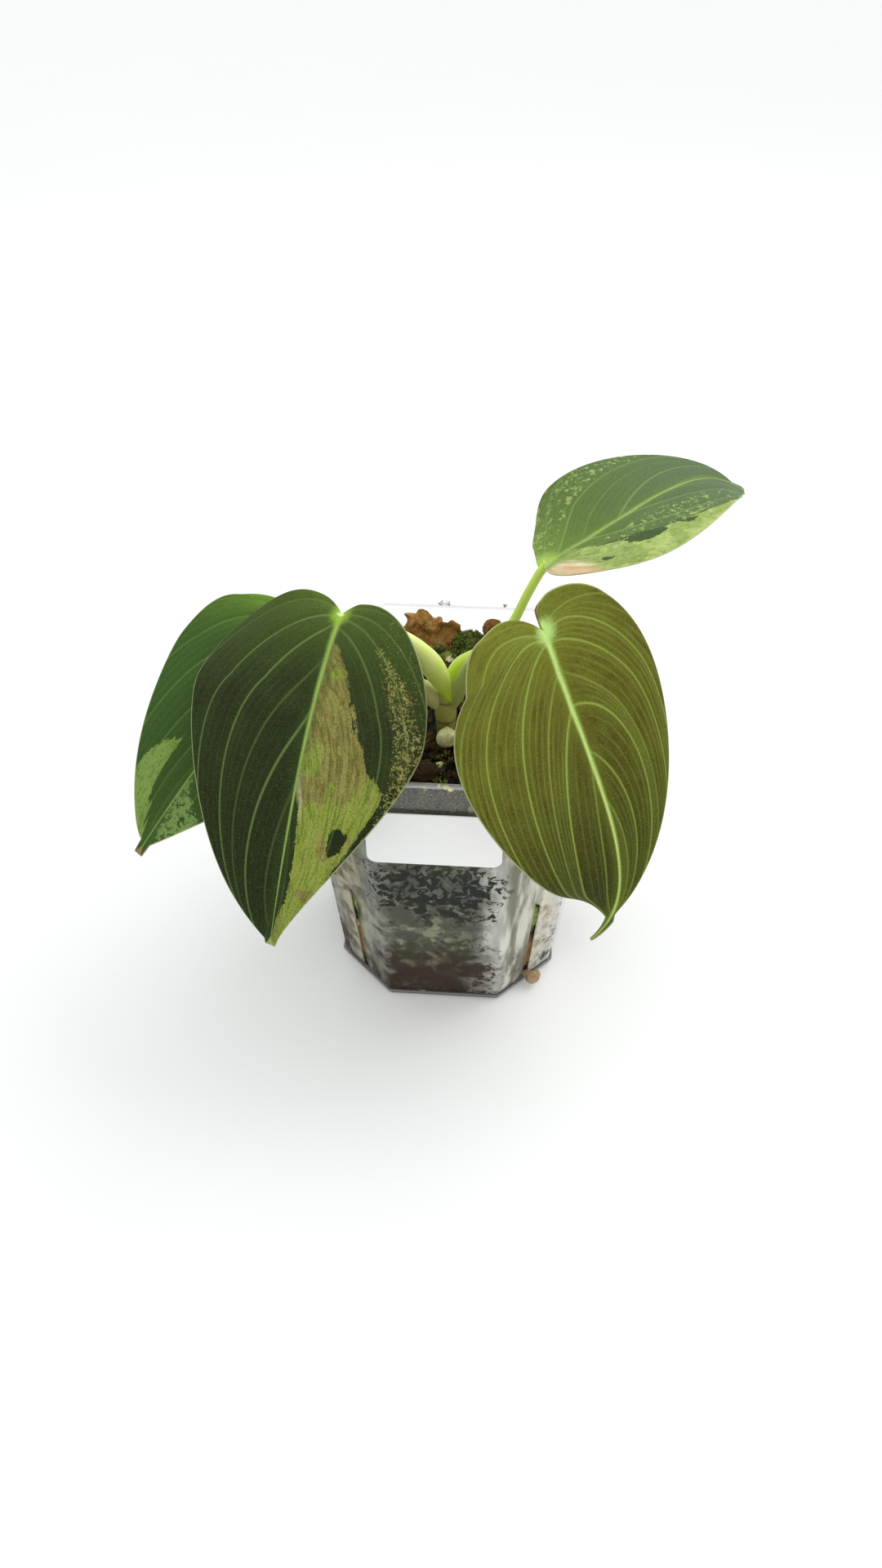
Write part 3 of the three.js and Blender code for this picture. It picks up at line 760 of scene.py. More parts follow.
@dataclass(frozen=True)
class ClearPlastic:
    """Thin clear plastic, glossy outside, with condensation and wet fines on its inner face and painted light on its
    right corner.
    """

    name: str = "clear_plastic"

    def material(self) -> Material:
        """Builds the finish."""
        p = Paint(self.name)
        inner = p.attribute("inner").rise(0.4, 0.6)
        height, right = p.part("Z"), p.part("X")
        beside = abs(right + 3.0).least(abs(p.part("Y")))
        blotch = p.noise(7.5, 4.0, 0.6, None, 0.4)
        drops = p.noise(1.1, 3.0, 0.7)
        branch = p.noise(2.7, 4.0, 0.6, None, 1.0)
        patch = p.noise(6.0, 3.0, 0.5, p.stretched(1, 1, 1.2), 0.3)
        streaks = p.noise(3.6, 3.0, 0.5, p.stretched(1, 1, 0.14))
        level = height + (blotch - 0.5) * 34.0
        edge_zone = (beside + (patch - 0.5) * 16.0).rise(10.0, 20.0)
        side = beside.rise(19.0, 24.0)
        low, soil = level.fall(14.0, 34.0), height.fall(86.0, 89.5)
        lace = level.rise(36.0, 48.0) * level.fall(60.0, 74.0)
        cover = lace * 0.035 + low * 0.09 - level.rise(64.0, 78.0) * 0.1
        cover = cover - edge_zone * 0.07 - side * 0.04 - 0.005
        share = branch * (0.4 + 0.35 * lace) + blotch * (0.6 - 0.35 * lace) + cover
        stain = share.rise(0.5 - 0.03 * (1 - lace), 0.53 + 0.05 * (1 - lace)) * soil * (1 - 0.45 * side)
        mist = (0.74 + 0.3 * drops + (streaks - 0.5) * 0.3 * edge_zone + 0.12 * side) * soil
        beads = p.cells(0.9).fall(0.1, 0.45)
        fog = (1 - soil) * (0.45 + beads * 0.3) * height.fall(97.0, 99.0) * p.part("Y").fall(0.0, 34.0)
        muddy = p.mix(blotch.rise(0.45, 0.6), (0.05, 0.036, 0.014), (0.045, 0.055, 0.018))
        muddy = p.mix(low, muddy, (0.034, 0.016, 0.01))
        muddy = p.mix(lace, muddy, (0.012, 0.016, 0.013))
        hazy = p.mix(drops * 0.4 + blotch.rise(0.4, 0.62) * 0.6, (0.055, 0.058, 0.042), (0.19, 0.195, 0.155))
        pale = patch.rise(0.52, 0.62) * height.fall(36.0, 46.0) * height.rise(6.0, 14.0)
        pale = pale * right.fall(0.0, 12.0)
        hazy = p.mix(pale * 0.75, hazy, (0.3, 0.31, 0.2))
        hazy = p.mix(low * (0.5 + blotch.rise(0.4, 0.6) * 0.4), hazy, (0.058, 0.038, 0.022))
        # To the right the edge zone and the far flank are painted whiter: partly mist on the wall, partly painted
        # light on the right-hand corner, which lies in shade under the bronze blade.
        bright = right.rise(6.0, 20.0)
        edge_mist_and_light = p.mix(bright, (0.33, 0.34, 0.3), (0.86, 0.86, 0.79))
        streaked = 0.35 + bright * 0.3 + streaks.rise(0.4, 0.65) * (0.5 - bright * 0.2)
        hazy = p.mix(edge_zone * streaked, hazy, edge_mist_and_light)
        beyond = (abs(right) - abs(p.part("Y"))).rise(-1.0, 4.0)
        flank = p.mix(streaks.rise(0.4, 0.62), (0.2, 0.19, 0.14), (0.62, 0.61, 0.53))
        far_flank_mist_and_light = p.mix(patch.rise(0.4, 0.55), (0.4, 0.32, 0.2), (0.72, 0.69, 0.58))
        flank = p.mix(beyond * 0.8, flank, far_flank_mist_and_light)
        left_flank = p.mix(patch.rise(0.42, 0.58), (0.075, 0.052, 0.024), (0.3, 0.28, 0.17))
        flank = p.mix(right.fall(-6.0, 6.0) * 0.75, flank, left_flank)
        hazy = p.mix(side, hazy, flank)
        film = p.mix(stain * (1 - pale * 0.6), hazy, muddy)
        film = p.mix(1 - soil, film, p.mix(drops, (0.15, 0.15, 0.13), (0.42, 0.42, 0.39)))
        facing = p.node("ShaderNodeLayerWeight", None, {"Blend": 0.3}, "Facing")
        edge = facing.rise(0.45, 1.0)
        lip, foot = height.rise(98.2, 98.9), height.fall(1.4, 3.2)
        clear = 0.012 + edge * 0.16 + lip * 0.35 + foot * 0.75
        alpha = clear * (1 - inner) + inner * mist.most(stain * 0.95).most(pale).most(fog).least(0.97)
        glass = p.mix(foot, p.mix(lip, (0.8, 0.83, 0.82), (0.92, 0.93, 0.92)), (0.075, 0.055, 0.04))
        return p.finish(
            Base_Color=p.mix(inner, glass, film),
            Roughness=0.08 + inner * 0.34 + drops * 0.05,
            Alpha=alpha,
            Normal=p.bump(drops * inner + p.noise(16.0, 2.0) * 0.5, 0.12),
            Specular_IOR_Level=0.1,
        )


@dataclass(frozen=True)
class LabelPaper:
    """Bare semi-matt coated paper."""

    name: str = "white_label"

    def material(self) -> Material:
        """Builds the finish."""
        p = Paint(self.name)
        fibre = p.noise(0.25, 3.0)
        cloud = p.noise(12.0, 2.0)
        colour = p.mix(cloud * 0.5 + fibre * 0.2, (0.93, 0.935, 0.93), (0.89, 0.895, 0.89))
        return p.finish(Base_Color=colour, Roughness=0.42 + fibre * 0.1, Normal=p.bump(fibre, 0.02))


@dataclass(frozen=True)
class StudioFloor:
    """A plain pale floor with the faintest unevenness."""

    name: str = "studio_floor"

    def material(self) -> Material:
        """Builds the finish."""
        p = Paint(self.name)
        cloud = p.noise(120.0, 3.0)
        colour = p.mix(cloud, (0.855, 0.862, 0.858), (0.835, 0.843, 0.838))
        return p.finish(
            Base_Color=colour,
            Roughness=0.75,
            Specular_IOR_Level=0.1,
            Emission_Color=(0.98, 1.0, 1.0),
            Emission_Strength=0.11,
        )


# Blades


# The depth outside every marking, and how far the vein index runs past the first and the last vein
OUTSIDE = -60.0
PAST_VEINS = 0.45


class Side(Enum):
    """The halves of a blade, by the sign of their sideways direction."""

    RIGHT = 1
    LEFT = -1


class Patch(Enum):
    """Kinds of marking on a blade, each a signed depth in millimetres on the vertices."""

    PALE = "pale"
    DARK = "dark"
    MARBLE = "marble"
    BLUSH = "blush"


@dataclass(frozen=True)
class Marking:
    """A patch of one half, between a nearer and a farther edge of points (share across, share along)."""

    kind: Patch
    side: Side
    near: tuple[Pair, ...]
    far: tuple[Pair, ...] = ((0.0, 1.2), (1.0, 1.2))
    deepest: float = 60.0

    def depth(self, across: Array, along: Array) -> Array:
        """Returns how far inside the patch a place is, as a share of the blade's length."""
        start = max(self.near[0][0], self.far[0][0])
        end = min(self.near[-1][0], self.far[-1][0])
        near, far = (np.interp(across, *zip(*edge)) for edge in (self.near, self.far))
        inside = np.minimum(along - near, far - along)
        if start > 0:
            inside = np.minimum(inside, (across - start) * 0.5)
        if end < 1:
            inside = np.minimum(inside, (end - across) * 0.5)
        return inside


@dataclass(frozen=True)
class Vein:
    """A side vein: its foot on the midrib and its end as shares along, its bend and its brightness."""

    foot: float
    end: float
    bend: float
    strength: float

    def along(self, across: Array) -> Array:
        """Returns its share along at shares across."""
        return self.foot + (self.end - self.foot) * across**self.bend


@dataclass(frozen=True)
class Half:
    """The outline of one half, with handles as shares of its width and of the blade's length."""

    sinus: Pair
    lobe: Pair
    wide: Pair
    shoulder: float
    taper: Pair
    veins: tuple[Vein, ...]
    roundness: Pair = (0.45, 0.55)
    joints: tuple[float, ...] = (0, 0.2, 0.5, 0.92, 0.985, 1)

    def margin(self, along: Array, neck: Pair, tip_width: float) -> Array:
        """Places on the margin from the petiole round the lobe to the tip.

        Args:
            along: Shares of the way round, from 0 to 1.
            neck: Half width and share along at which the drip tip starts.
            tip_width: Half width of the cut tip.

        Returns:
            Sideways millimetres and the share along, one place to a row.
        """
        wide_x, wide_y = self.wide
        lobe_x, lobe_y = self.lobe[0] * wide_x, -self.lobe[1]
        sinus_x, sinus_y = self.sinus[0] * wide_x, -self.sinus[1]
        rise = neck[1] - wide_y
        inner, outer = self.roundness
        lobe, wide, tip, middle = (lobe_x, lobe_y), (wide_x, wide_y), (tip_width, 1), (0, 1)
        before_lobe = (lobe_x - inner * (lobe_x - sinus_x), lobe_y)
        after_lobe = (lobe_x + outer * (wide_x - lobe_x), lobe_y)
        before_wide = (wide_x, wide_y - outer * (wide_y - lobe_y))
        after_wide = (wide_x, wide_y + self.shoulder * rise)
        before_neck = (neck[0] + self.taper[0] * wide_x, neck[1] - self.taper[1] * rise)
        curves = np.array([
            ((0, 0), (sinus_x, sinus_y), before_lobe, lobe),
            (lobe, after_lobe, before_wide, wide),
            (wide, after_wide, before_neck, neck),
            (neck, neck, tip, tip),
            (tip, tip, middle, middle),
        ], float)
        places = np.zeros((len(along), 2))
        for curve, low, high in zip(curves, self.joints, self.joints[1:]):
            chosen = (along >= low) & (along <= high)
            places[chosen] = bezier(curve, (along[chosen] - low) / (high - low))
        return places


@dataclass(frozen=True)
class Relief:
    """Widths and depths of the relief on a blade's two faces."""

    groove_width: float = 0.9
    groove_depth: float = 0.3
    groove_keel: float = 0.16
    quilt_rise: float = 0.2
    quilt_pitch: float = 6.0
    rib_width: float = 1.1
    rib_depth: float = 0.22
    keel_width: float = 1.0
    keel_depth: float = 0.55
    wave_height: float = 0.45
    waves: float = 21.0
    margin_round: float = 0.7


@dataclass(frozen=True)
class Blade:
    """A heart-shaped blade, its outline, its bend in space and what is drawn on it."""

    name: str
    slot: str
    midrib: tuple[Point, Point, Point, Point]
    tilt: Pair
    cup: float
    fold: float
    neck: Pair
    tip_width: float
    right: Half
    left: Half
    finish: VelvetBlade
    markings: tuple[Marking, ...] = ()
    relief: Relief = Relief()
    thickness: float = 0.56
    rows: int = 168
    columns: int = 58
    wave_seed: float = 1.0
    seat_share: float = 0.015
    vein_fading: float = 0.45
    pitches: Pair = (0.4, 40)

    def frame(self, along: Array) -> tuple[Array, Array, Array]:
        """The midrib with the blade's sideways and upward directions.

        Args:
            along: Shares of the midrib's length. Below 0 it runs straight on behind the petiole.

        Returns:
            The points, the sideways directions and the upward directions.
        """
        controls = np.array(self.midrib)
        first, second, third = np.diff(controls, axis=0)
        inside = np.clip(along, 0, 1)
        u = inside[..., None]
        slope = 3 * ((1 - u) ** 2 * first + 2 * (1 - u) * u * second + u**2 * third)
        point = bezier(controls, inside) + slope * (along - inside)[..., None]
        direction = unit(slope)
        level = unit(np.cross(direction, (0, 0, 1)))
        upright = np.cross(level, direction)
        tilt = np.radians(self.tilt[0] + (self.tilt[1] - self.tilt[0]) * along)[..., None]
        sideways = level * np.cos(tilt) + upright * np.sin(tilt)
        normal = upright * np.cos(tilt) - level * np.sin(tilt)
        return point, sideways, normal

    def surface(self, x: Array, y: Array) -> tuple[Array, Array]:
        """Returns points of the blade's middle surface and the directions that they face."""
        point, sideways, normal = self.frame(y)
        side = x[..., None]
        rise = self.fold * np.abs(side) - self.cup * side * side
        steepness = self.fold * np.sign(side) - 2 * self.cup * side
        return point + sideways * side + normal * rise, unit(normal - sideways * steepness)

    def seat(self) -> tuple[Array, Array]:
        """Returns where the petiole meets the midrib and the blade's direction there."""
        point, _, normal = self.frame(np.array(self.seat_share))
        return point, normal

    def half_grid(self, side: Side) -> dict[str, Array]:
        """Values over one half, by rows along and columns from the midrib to the margin."""
        half = self.right if side is Side.RIGHT else self.left
        along = np.linspace(0, 1, self.rows)
        across = np.linspace(0, 1, self.columns) ** 0.92
        edge = half.margin(along, self.neck, self.tip_width)
        x = side.value * across[None, :] * edge[:, 0, None]
        y = (1 - across[None, :]) * along[:, None] ** 2.2 + across[None, :] * edge[:, 1, None]
        points, facing = self.surface(x, y)
        s, t = np.meshgrid(along, across, indexing="ij")
        vein, strength = self._vein_index(half, s, t)
        span = np.linalg.norm(points[:, -1] - points[:, 0], axis=1)
        grid = {
            "points": points,
            "facing": facing,
            "rib": x,
            "along": s,
            "across": side.value * t,
            "vein": vein,
            "strength": strength * (1 - self.vein_fading * t),
            "pitch": np.clip(1 / np.maximum(self._slope_of(points, vein), 1e-3), *self.pitches),
            "edge": (1 - t) * span[:, None],
            "insertion": np.linalg.norm(points - points[0, 0], axis=2),
        }
        return grid | {kind.value: self._patch_depth(kind, side, points, s, t) for kind in Patch}

    @staticmethod
    def _slope_of(points: Array, values: Array) -> Array:
        """Returns how much a value changes for each millimetre over a grid of points."""
        down, over = np.gradient(points, axis=(0, 1))
        value_down, value_over = np.gradient(values)
        a, b, c = ((left * right).sum(2) for left, right in ((down, down), (down, over), (over, over)))
        determinant = np.maximum(a * c - b * b, 1e-9)
        square = (c * value_down**2 - 2 * b * value_down * value_over + a * value_over**2) / determinant
        return np.sqrt(np.maximum(square, 0))

    @staticmethod
    def _vein_index(half: Half, along: Array, across: Array) -> tuple[Array, Array]:
        """Returns a value that is whole on each side vein and even between them, and the brightness."""
        lines = [vein.along(across) for vein in half.veins]
        first, last = lines[0], lines[-1]
        index = np.where(along < first, PAST_VEINS * (along - first) / np.maximum(first, 1e-3), 0.0)
        strength = np.full(along.shape, half.veins[0].strength)
        for k, (low, high) in enumerate(zip(lines, lines[1:])):
            share = (along - low) / np.maximum(high - low, 1e-4)
            chosen = (share >= 0) & (share <= 1)
            index = np.where(chosen, k + share, index)
            nearer = np.where(share > 0.5, half.veins[k + 1].strength, half.veins[k].strength)
            strength = np.where(chosen, nearer, strength)
        beyond = along > last
        tail = np.clip((along - last) / np.maximum(1 - last, 0.05), 0, 1)
        index = np.where(beyond, len(lines) - 1 + PAST_VEINS * tail, index)
        return index, np.where(beyond, half.veins[-1].strength, strength)

    def _patch_depth(self, kind: Patch, side: Side, points: Array, along: Array, across: Array) -> Array:
        """Returns the signed depth in millimetres inside the markings of one kind."""
        depth = np.full(along.shape, OUTSIDE)
        for marking in self.markings:
            if marking.kind is kind and marking.side is side:
                share = marking.depth(across, along)
                slope = np.maximum(self._slope_of(points, share), 0.004)
                depth = np.maximum(depth, np.clip(share / slope, OUTSIDE, marking.deepest))
        return depth

    def _faces(self, grid: dict[str, Array]) -> tuple[Array, Array]:
        """Returns the points of the upper and the lower face, with their relief and the rounded margin."""
        form, s, t, x, vein = self.relief, grid["along"], np.abs(grid["across"]), grid["rib"], grid["vein"]
        distance = np.abs(vein - np.round(vein)) * grid["pitch"]
        groove = np.exp(-((distance / form.groove_width) ** 2)) * grid["strength"] * smoothstep(t, 0.0, 0.12)
        quilt = np.sin(np.pi * (vein - np.floor(vein))) * np.clip(grid["pitch"] / form.quilt_pitch, 0, 1)
        rib = np.exp(-((x / form.rib_width) ** 2)) * (1 - 0.6 * s)
        calm = smoothstep(grid["insertion"], 1.0, 9.0)
        phase = s * form.waves + self.wave_seed * 2 + np.sign(grid["across"])
        wave = form.wave_height * t**3 * np.sin(phase)
        wave = wave * smoothstep(s, 0.05, 0.2) * (1 - smoothstep(s, 0.8, 0.97))
        lift = (form.quilt_rise * quilt - form.groove_depth * groove) * calm * (1 - t**6)
        lift = lift - form.rib_depth * rib + wave
        rounding = np.maximum(0, 1 - grid["edge"] / form.margin_round)
        half = 0.5 * self.thickness * np.sqrt(np.clip(1 - rounding**2, 0, 1))
        keel = form.keel_depth * np.exp(-((x / form.keel_width) ** 2))
        keel = keel * (1 - 0.75 * s) * smoothstep(s, 0.0, 0.08)
        upper = lift + half
        lower = lift - half - keel - form.groove_keel * groove * calm
        return tuple(grid["points"] + grid["facing"] * height[..., None] for height in (upper, lower))

    def build(self) -> Piece:
        """Builds the blade as one closed mesh of two faces that share their margin, and dresses it."""
        left, right = self.half_grid(Side.LEFT), self.half_grid(Side.RIGHT)
        grid = {key: np.concatenate([left[key][:, :0:-1], right[key]], axis=1) for key in right}
        faces = upper, lower = self._faces(grid)
        middle, inner = self.columns - 1, slice(1, -1)
        count, width = self.rows - 2, grid["rib"].shape[1]
        shell = Shell()
        start_up, start_low = shell.add(upper[inner]), shell.add(lower[inner, inner])
        poles = shell.add(np.array([face[end, middle] for end in (0, -1) for face in faces]))
        for name, values in grid.items():
            if values.ndim == 2:
                parts = values[inner], values[inner, inner], values[[0, 0, -1, -1], middle]
                shell.values[name] = np.concatenate([part.ravel() for part in parts])
        under = np.zeros((count, width))
        under[:, [0, -1]] = 0.5
        shell.values["under"] = np.concatenate([under.ravel(), np.ones(count * (width - 2)), [0, 1, 0, 1]])

        up = start_up + np.arange(count * width).reshape(count, width)
        low = up.copy()
        low[:, inner] = start_low + np.arange(count * (width - 2)).reshape(count, width - 2)
        for face, order, below in ((up, 1, 0), (low, -1, 1)):
            corners = np.stack([face[:-1, :-1], face[:-1, 1:], face[1:, 1:], face[1:, :-1]], axis=-1)
            shell.faces += map(tuple, corners.reshape(-1, 4)[:, ::order].tolist())
            for row, pole, turn in ((face[0], poles + below, order), (face[-1], poles + 2 + below, -order)):
                shell.faces += [(pole, b, a)[::turn] for a, b in zip(row.tolist(), row[1:].tolist())]
        for row, pole, turn in ((up[0].tolist(), poles, 1), (up[-1].tolist(), poles + 2, -1)):
            shell.faces += [(row[0], pole, pole + 1)[::turn], (row[-1], pole, pole + 1)[::-turn]]
        piece = shell.to_object(f"blade_{self.name}", self.finish.material())
        return settle(piece, self.slot, f"leaf_{self.name}")


# Stem and petioles


def stalk(rings: Sequence[Array], share: Array, **values: Array) -> Shell:
    """Skins a stalk over rings and stores what its skin's finish reads.

    Args:
        rings: The rings from foot to head.
        share: The share along the stalk of each ring.
        values: Further values by name, for all points of the rings.

    Returns:
        The closed stalk.
    """
    sides = len(rings[0])
    turn = np.arange(sides) / sides
    shell = Shell()
    shell.loft(rings)
    shell.values["along"] = np.append(np.repeat(share, sides), (0, 1))
    shell.values["turn"] = np.append(np.tile(0.5 - np.abs(turn - 0.5), len(share)), (0, 0))
    for name, spread in values.items():
        shell.values[name] = np.append(np.broadcast_to(spread, (len(share), sides)), (0, 0))
    return shell


@dataclass(frozen=True)
class Petiole:
    """A fleshy stalk along its own route, grooved on top and winged where its foot sheathes the stem."""

    name: str
    slot: str
    route: tuple[tuple[float, float, float, float], ...]
    root: tuple[float, float, float, float]
    blade: Blade
    finish: Flesh
    sheath: float = 0.4
    wing: float = 0.5
    groove: float = 0.16
    cap: Pair = (0.97, 0.25)
    below_blade: float = 0.25
    sides: int = 28
    steps: int = 14

    def build(self) -> Piece:
        """Sweeps the stalk's section along its route up to the underside of its blade."""
        seat, facing = self.blade.seat()
        end = np.array([*(seat - facing * self.below_blade), self.route[-1][3]])
        path = spline(np.vstack([np.array(self.root), np.array(self.route), end]), self.steps)
        points, radii = path[:, :3], path[:, 3]
        travel = unit(np.gradient(points, axis=0))
        across = unit(np.cross((0.0, 1.0, 0.0), travel))
        upward = np.cross(travel, across)
        share = np.linspace(0, 1, len(points))
        angle = np.arange(self.sides) / self.sides * 2 * math.pi
        cap_foot, cap_swell = self.cap
        rings = []
        for k, along in enumerate(share):
            foot = 1 - float(smoothstep(along, 0.0, self.sheath))
            lean = np.cos(angle) * across[k][:, None] + np.sin(angle) * upward[k][:, None]
            groove = self.groove * np.clip(lean[2], 0, 1) ** 6 * (1 + 1.2 * foot)
            flat = 1 + self.wing * foot * 0.35 * np.abs(np.cos(angle)) - groove
            swell = 1 + cap_swell * max(along - cap_foot, 0) / (1 - cap_foot)
            rings.append(points[k] + (radii[k] * swell * flat * lean).T)
        fading = 1 - smoothstep(share, 0.0, self.sheath + 0.1)
        shell = stalk(rings, share, wing=fading[:, None] * np.abs(np.cos(angle)) ** 10)
        piece = shell.to_object(f"stalk_{self.name}", self.finish.material())
        return settle(piece, self.slot, f"petiole_{self.name}")


@dataclass(frozen=True)
class Stem:
    """The short upright stem, thickened at its nodes and ringed by two scars."""

    place: Pair = (-1.6, -5.4)
    profile: tuple[Pair, ...] = (
        (66, 2), (72, 2.4), (84, 2.6), (89, 2.7), (92, 3.0), (96, 3.2), (99, 2.7), (102, 1.9), (104, 0.8),
    )
    scars: tuple[Pair, ...] = ((92.4, 0.5), (99, 0.4))
    ridges: int = 5
    ridge_height: float = 0.03
    finish: Flesh = Flesh("stem_skin", (0.2, 0.19, 0.025), (0.46, 0.47, 0.13), (0.12, 0.075, 0.03), 0.35)
    sides: int = 32

    def build(self) -> Piece:
        """Turns the stem's profile round its own axis."""
        height, radii, _ = spline(np.array([(z, r, 0.0) for z, r in self.profile]), 8).T
        angle = np.arange(self.sides) / self.sides * 2 * math.pi
        ridge = 1 + self.ridge_height * np.cos(self.ridges * angle)
        rings = []
        for z, radius in zip(height, radii):
            reach = radius * ridge
            x, y = self.place[0] + reach * np.cos(angle), self.place[1] + reach * np.sin(angle)
            rings.append(np.stack([x, y, np.full_like(angle, z)], axis=1))
        scar = sum(np.exp(-(((height - z) / width) ** 2)) for z, width in self.scars)
        share = (height - height[0]) / (height[-1] - height[0])
        piece = stalk(rings, share, scar=scar[:, None]).to_object("stem_cane", self.finish.material())
        return settle(piece, "stem_green", "stem")


# Pot


@dataclass(frozen=True)
class Pot:
    """A clear square pot with chamfered corners, a stepped rim band, corner slots and drain holes.

    The sizes from base to lip, and the pad's, are a width over the flats with the leg of a chamfer.
    """

    height: float = 100.0
    shoulder: float = 88.0
    wall: float = 0.9
    inner_share: float = 0.55
    floor: float = 1.4
    base: Pair = (70.0, 17.5)
    body: Pair = (85.0, 20.0)
    band_foot: Pair = (86.6, 20.2)
    band_top: Pair = (88.4, 20.2)
    lip: Pair = (90.0, 20.3)
    lip_height: float = 1.5
    pad: Pair = (52.0, 6.0)
    pad_corner: float = 3.0
    pad_height: float = 0.4
    corner: float = 1.6
    corner_steps: int = 6
    levels: int = 16
    slot_width: float = 2.8
    slot_foot: float = 3.0
    slot_top: float = 41.0
    slot_point: float = 3.0
    slot_cut: Pair = (28, 62)
    drain_radius: float = 2.5
    drain_ring: float = 21.0
    drain_cut: Pair = (-3.0, 4.0)
    drain_sides: int = 24
    drains: int = 8
    sharp_angle: float = 35.0

    def section(self, z: Array | float) -> tuple[Array | float, Array | float]:
        """Returns the width and chamfer of the tapering body at a height."""
        share = z / self.shoulder
        return tuple(low + (high - low) * share for low, high in zip(self.base, self.body))

    def ring(self, size: Pair, z: float, inset: float = 0.0, corner: float | None = None) -> Array:
        """A level octagon with rounded corners.

        Args:
            size: Width over the flats and length of a chamfer's leg.
            z: Height.
            inset: How far every face is moved inwards.
            corner: Radius at the corners, in place of the pot's own.

        Returns:
            Its points, anticlockwise seen from above.
        """
        half = (size[0] - 2 * inset) / 2
        cut = half - (size[1] - inset * (2 - math.sqrt(2)))
        quarter = ((cut, -half), (half, -cut), (half, cut), (cut, half))
        corners = np.array([*quarter, *((-x, -y) for x, y in quarter)])
        radius = max((self.corner if corner is None else corner) - inset * 0.5, 0.3)
        reach = radius * math.tan(math.radians(22.5))
        points = []
        for before, place, after in zip(np.roll(corners, 1, 0), corners, np.roll(corners, -1, 0)):
            start, end = place + unit(before - place) * reach, place + unit(after - place) * reach
            for step in np.linspace(0, 1, self.corner_steps):
                points.append((1 - step) ** 2 * start + 2 * step * (1 - step) * place + step**2 * end)
        return np.column_stack([points, np.full(len(points), z)])

    def rings(self) -> list[Array]:
        """Returns the rings of the wall, up its outside from the pad, over the lip and down its inside."""
        foot, top, wall = self.pad_height, self.height, self.wall
        lip_foot = top - self.lip_height
        outer = [
            (self.base, foot, 1.4), (self.base, foot + 0.25, 0.45), (self.section(1.6), 1.6),
            *((self.section(z), z) for z in np.linspace(6, self.shoulder - 0.6, self.levels)),
            (self.body, self.shoulder, 0.05), (self.band_foot, self.shoulder + 0.25, 0.25),
            (self.band_foot, self.shoulder + 0.6), (self.band_top, lip_foot - 0.4),
            (self.band_top, lip_foot), (self.lip, lip_foot + 0.15, 0.12), (self.lip, lip_foot + 0.4),
            (self.lip, top - 0.35), (self.lip, top - 0.1, 0.1), (self.lip, top, 0.4),
        ]
        inner = [
            (self.band_top, top, wall - 0.3), (self.band_top, top - 0.15, wall - 0.1),
            (self.band_top, top - 0.5, wall), (self.band_foot, self.shoulder + 1.0, wall),
            (self.section(self.shoulder), self.shoulder, wall),
            *((self.section(z), z, wall) for z in np.linspace(self.shoulder - 4, 6, self.levels)),
            (self.section(self.floor), self.floor + 0.6, wall + 0.1),
            (self.section(self.floor), self.floor, wall + 0.7),
        ]
        pad = self.ring(self.pad, 0.0, corner=self.pad_corner)
        return [pad, *(self.ring(*row) for row in outer + inner)]

    def build(self) -> Piece:
        """Builds the wall as one closed shell, cuts the slots and drains, and dresses it."""
        shell = Shell()
        shell.loft(self.rings())
        material = ClearPlastic().material()
        piece = shell.to_object("clear_pot", material)
        cutters = [made.to_object("cutter", material, False) for made in (self._slots(), self._drains())]
        for cutter in cutters:
            cut = piece.modifiers.new("cut", "BOOLEAN")
            cut.operation = "DIFFERENCE"
            cut.solver = "EXACT"
            cut.object = cutter
        applied(piece)
        for cutter in cutters:
            bpy.data.objects.remove(cutter)
        tag(piece.data, "inner", self._depth(coordinates(piece)) > self.wall * self.inner_share)
        self._sharpen(piece)
        return settle(piece, "clear_plastic", "pot")

    def _depth(self, points: Array) -> Array:
        """Returns how far each place lies inside the pot's outer faces."""
        lip_foot = self.height - self.lip_height
        sizes = {
            self.pad_height: self.base, self.shoulder: self.body, self.shoulder + 0.3: self.band_foot,
            lip_foot: self.band_top, lip_foot + 0.3: self.lip, self.height: self.lip,
        }
        x, y, z = np.abs(points).T
        width, chamfer = (np.interp(points[:, 2], list(sizes), column) for column in zip(*sizes.values()))
        to_chamfer = (width - chamfer - x - y) / math.sqrt(2)
        return np.minimum.reduce([width / 2 - x, width / 2 - y, to_chamfer, z - self.pad_height])

    def _sharpen(self, piece: Piece) -> None:
        """Keeps the shading crisp where faces meet at a wide angle."""
        limit = math.radians(self.sharp_angle)
        wall = bmesh.new()
        wall.from_mesh(piece.data)
        for edge in wall.edges:
            edge.smooth = len(edge.link_faces) == 2 and edge.calc_face_angle(0) < limit
        wall.to_mesh(piece.data)
        wall.free()

    def _slots(self) -> Shell:
        """Makes the four pointed slots, each cut outwards through a chamfer."""
        half, foot, top = self.slot_width / 2, self.slot_foot, self.slot_top
        outline = np.array([(-half, foot), (half, foot), (half, top - self.slot_point), (-half, top)])
        shell = Shell()
        for corner in SLOT_CORNERS:
            outward, beside = compass(corner)
            flat = outline[:, :1] * beside + outline[:, 1:] * np.array((0, 0, 1))
            shell.loft([outward * depth + flat for depth in self.slot_cut])
        return shell

    def _drains(self) -> Shell:
        """Makes the ring of round holes through the underside."""
        angle = np.arange(self.drain_sides) / self.drain_sides * 2 * math.pi
        round_hole = self.drain_radius * np.stack([np.cos(angle), np.sin(angle)], axis=1)
        shell = Shell()
        for k in range(self.drains):
            turn = (k + 0.5) * 2 * math.pi / self.drains
            circle = self.drain_ring * np.array((math.cos(turn), math.sin(turn))) + round_hole
            shell.loft([np.column_stack([circle, np.full(self.drain_sides, z)]) for z in self.drain_cut])
        return shell

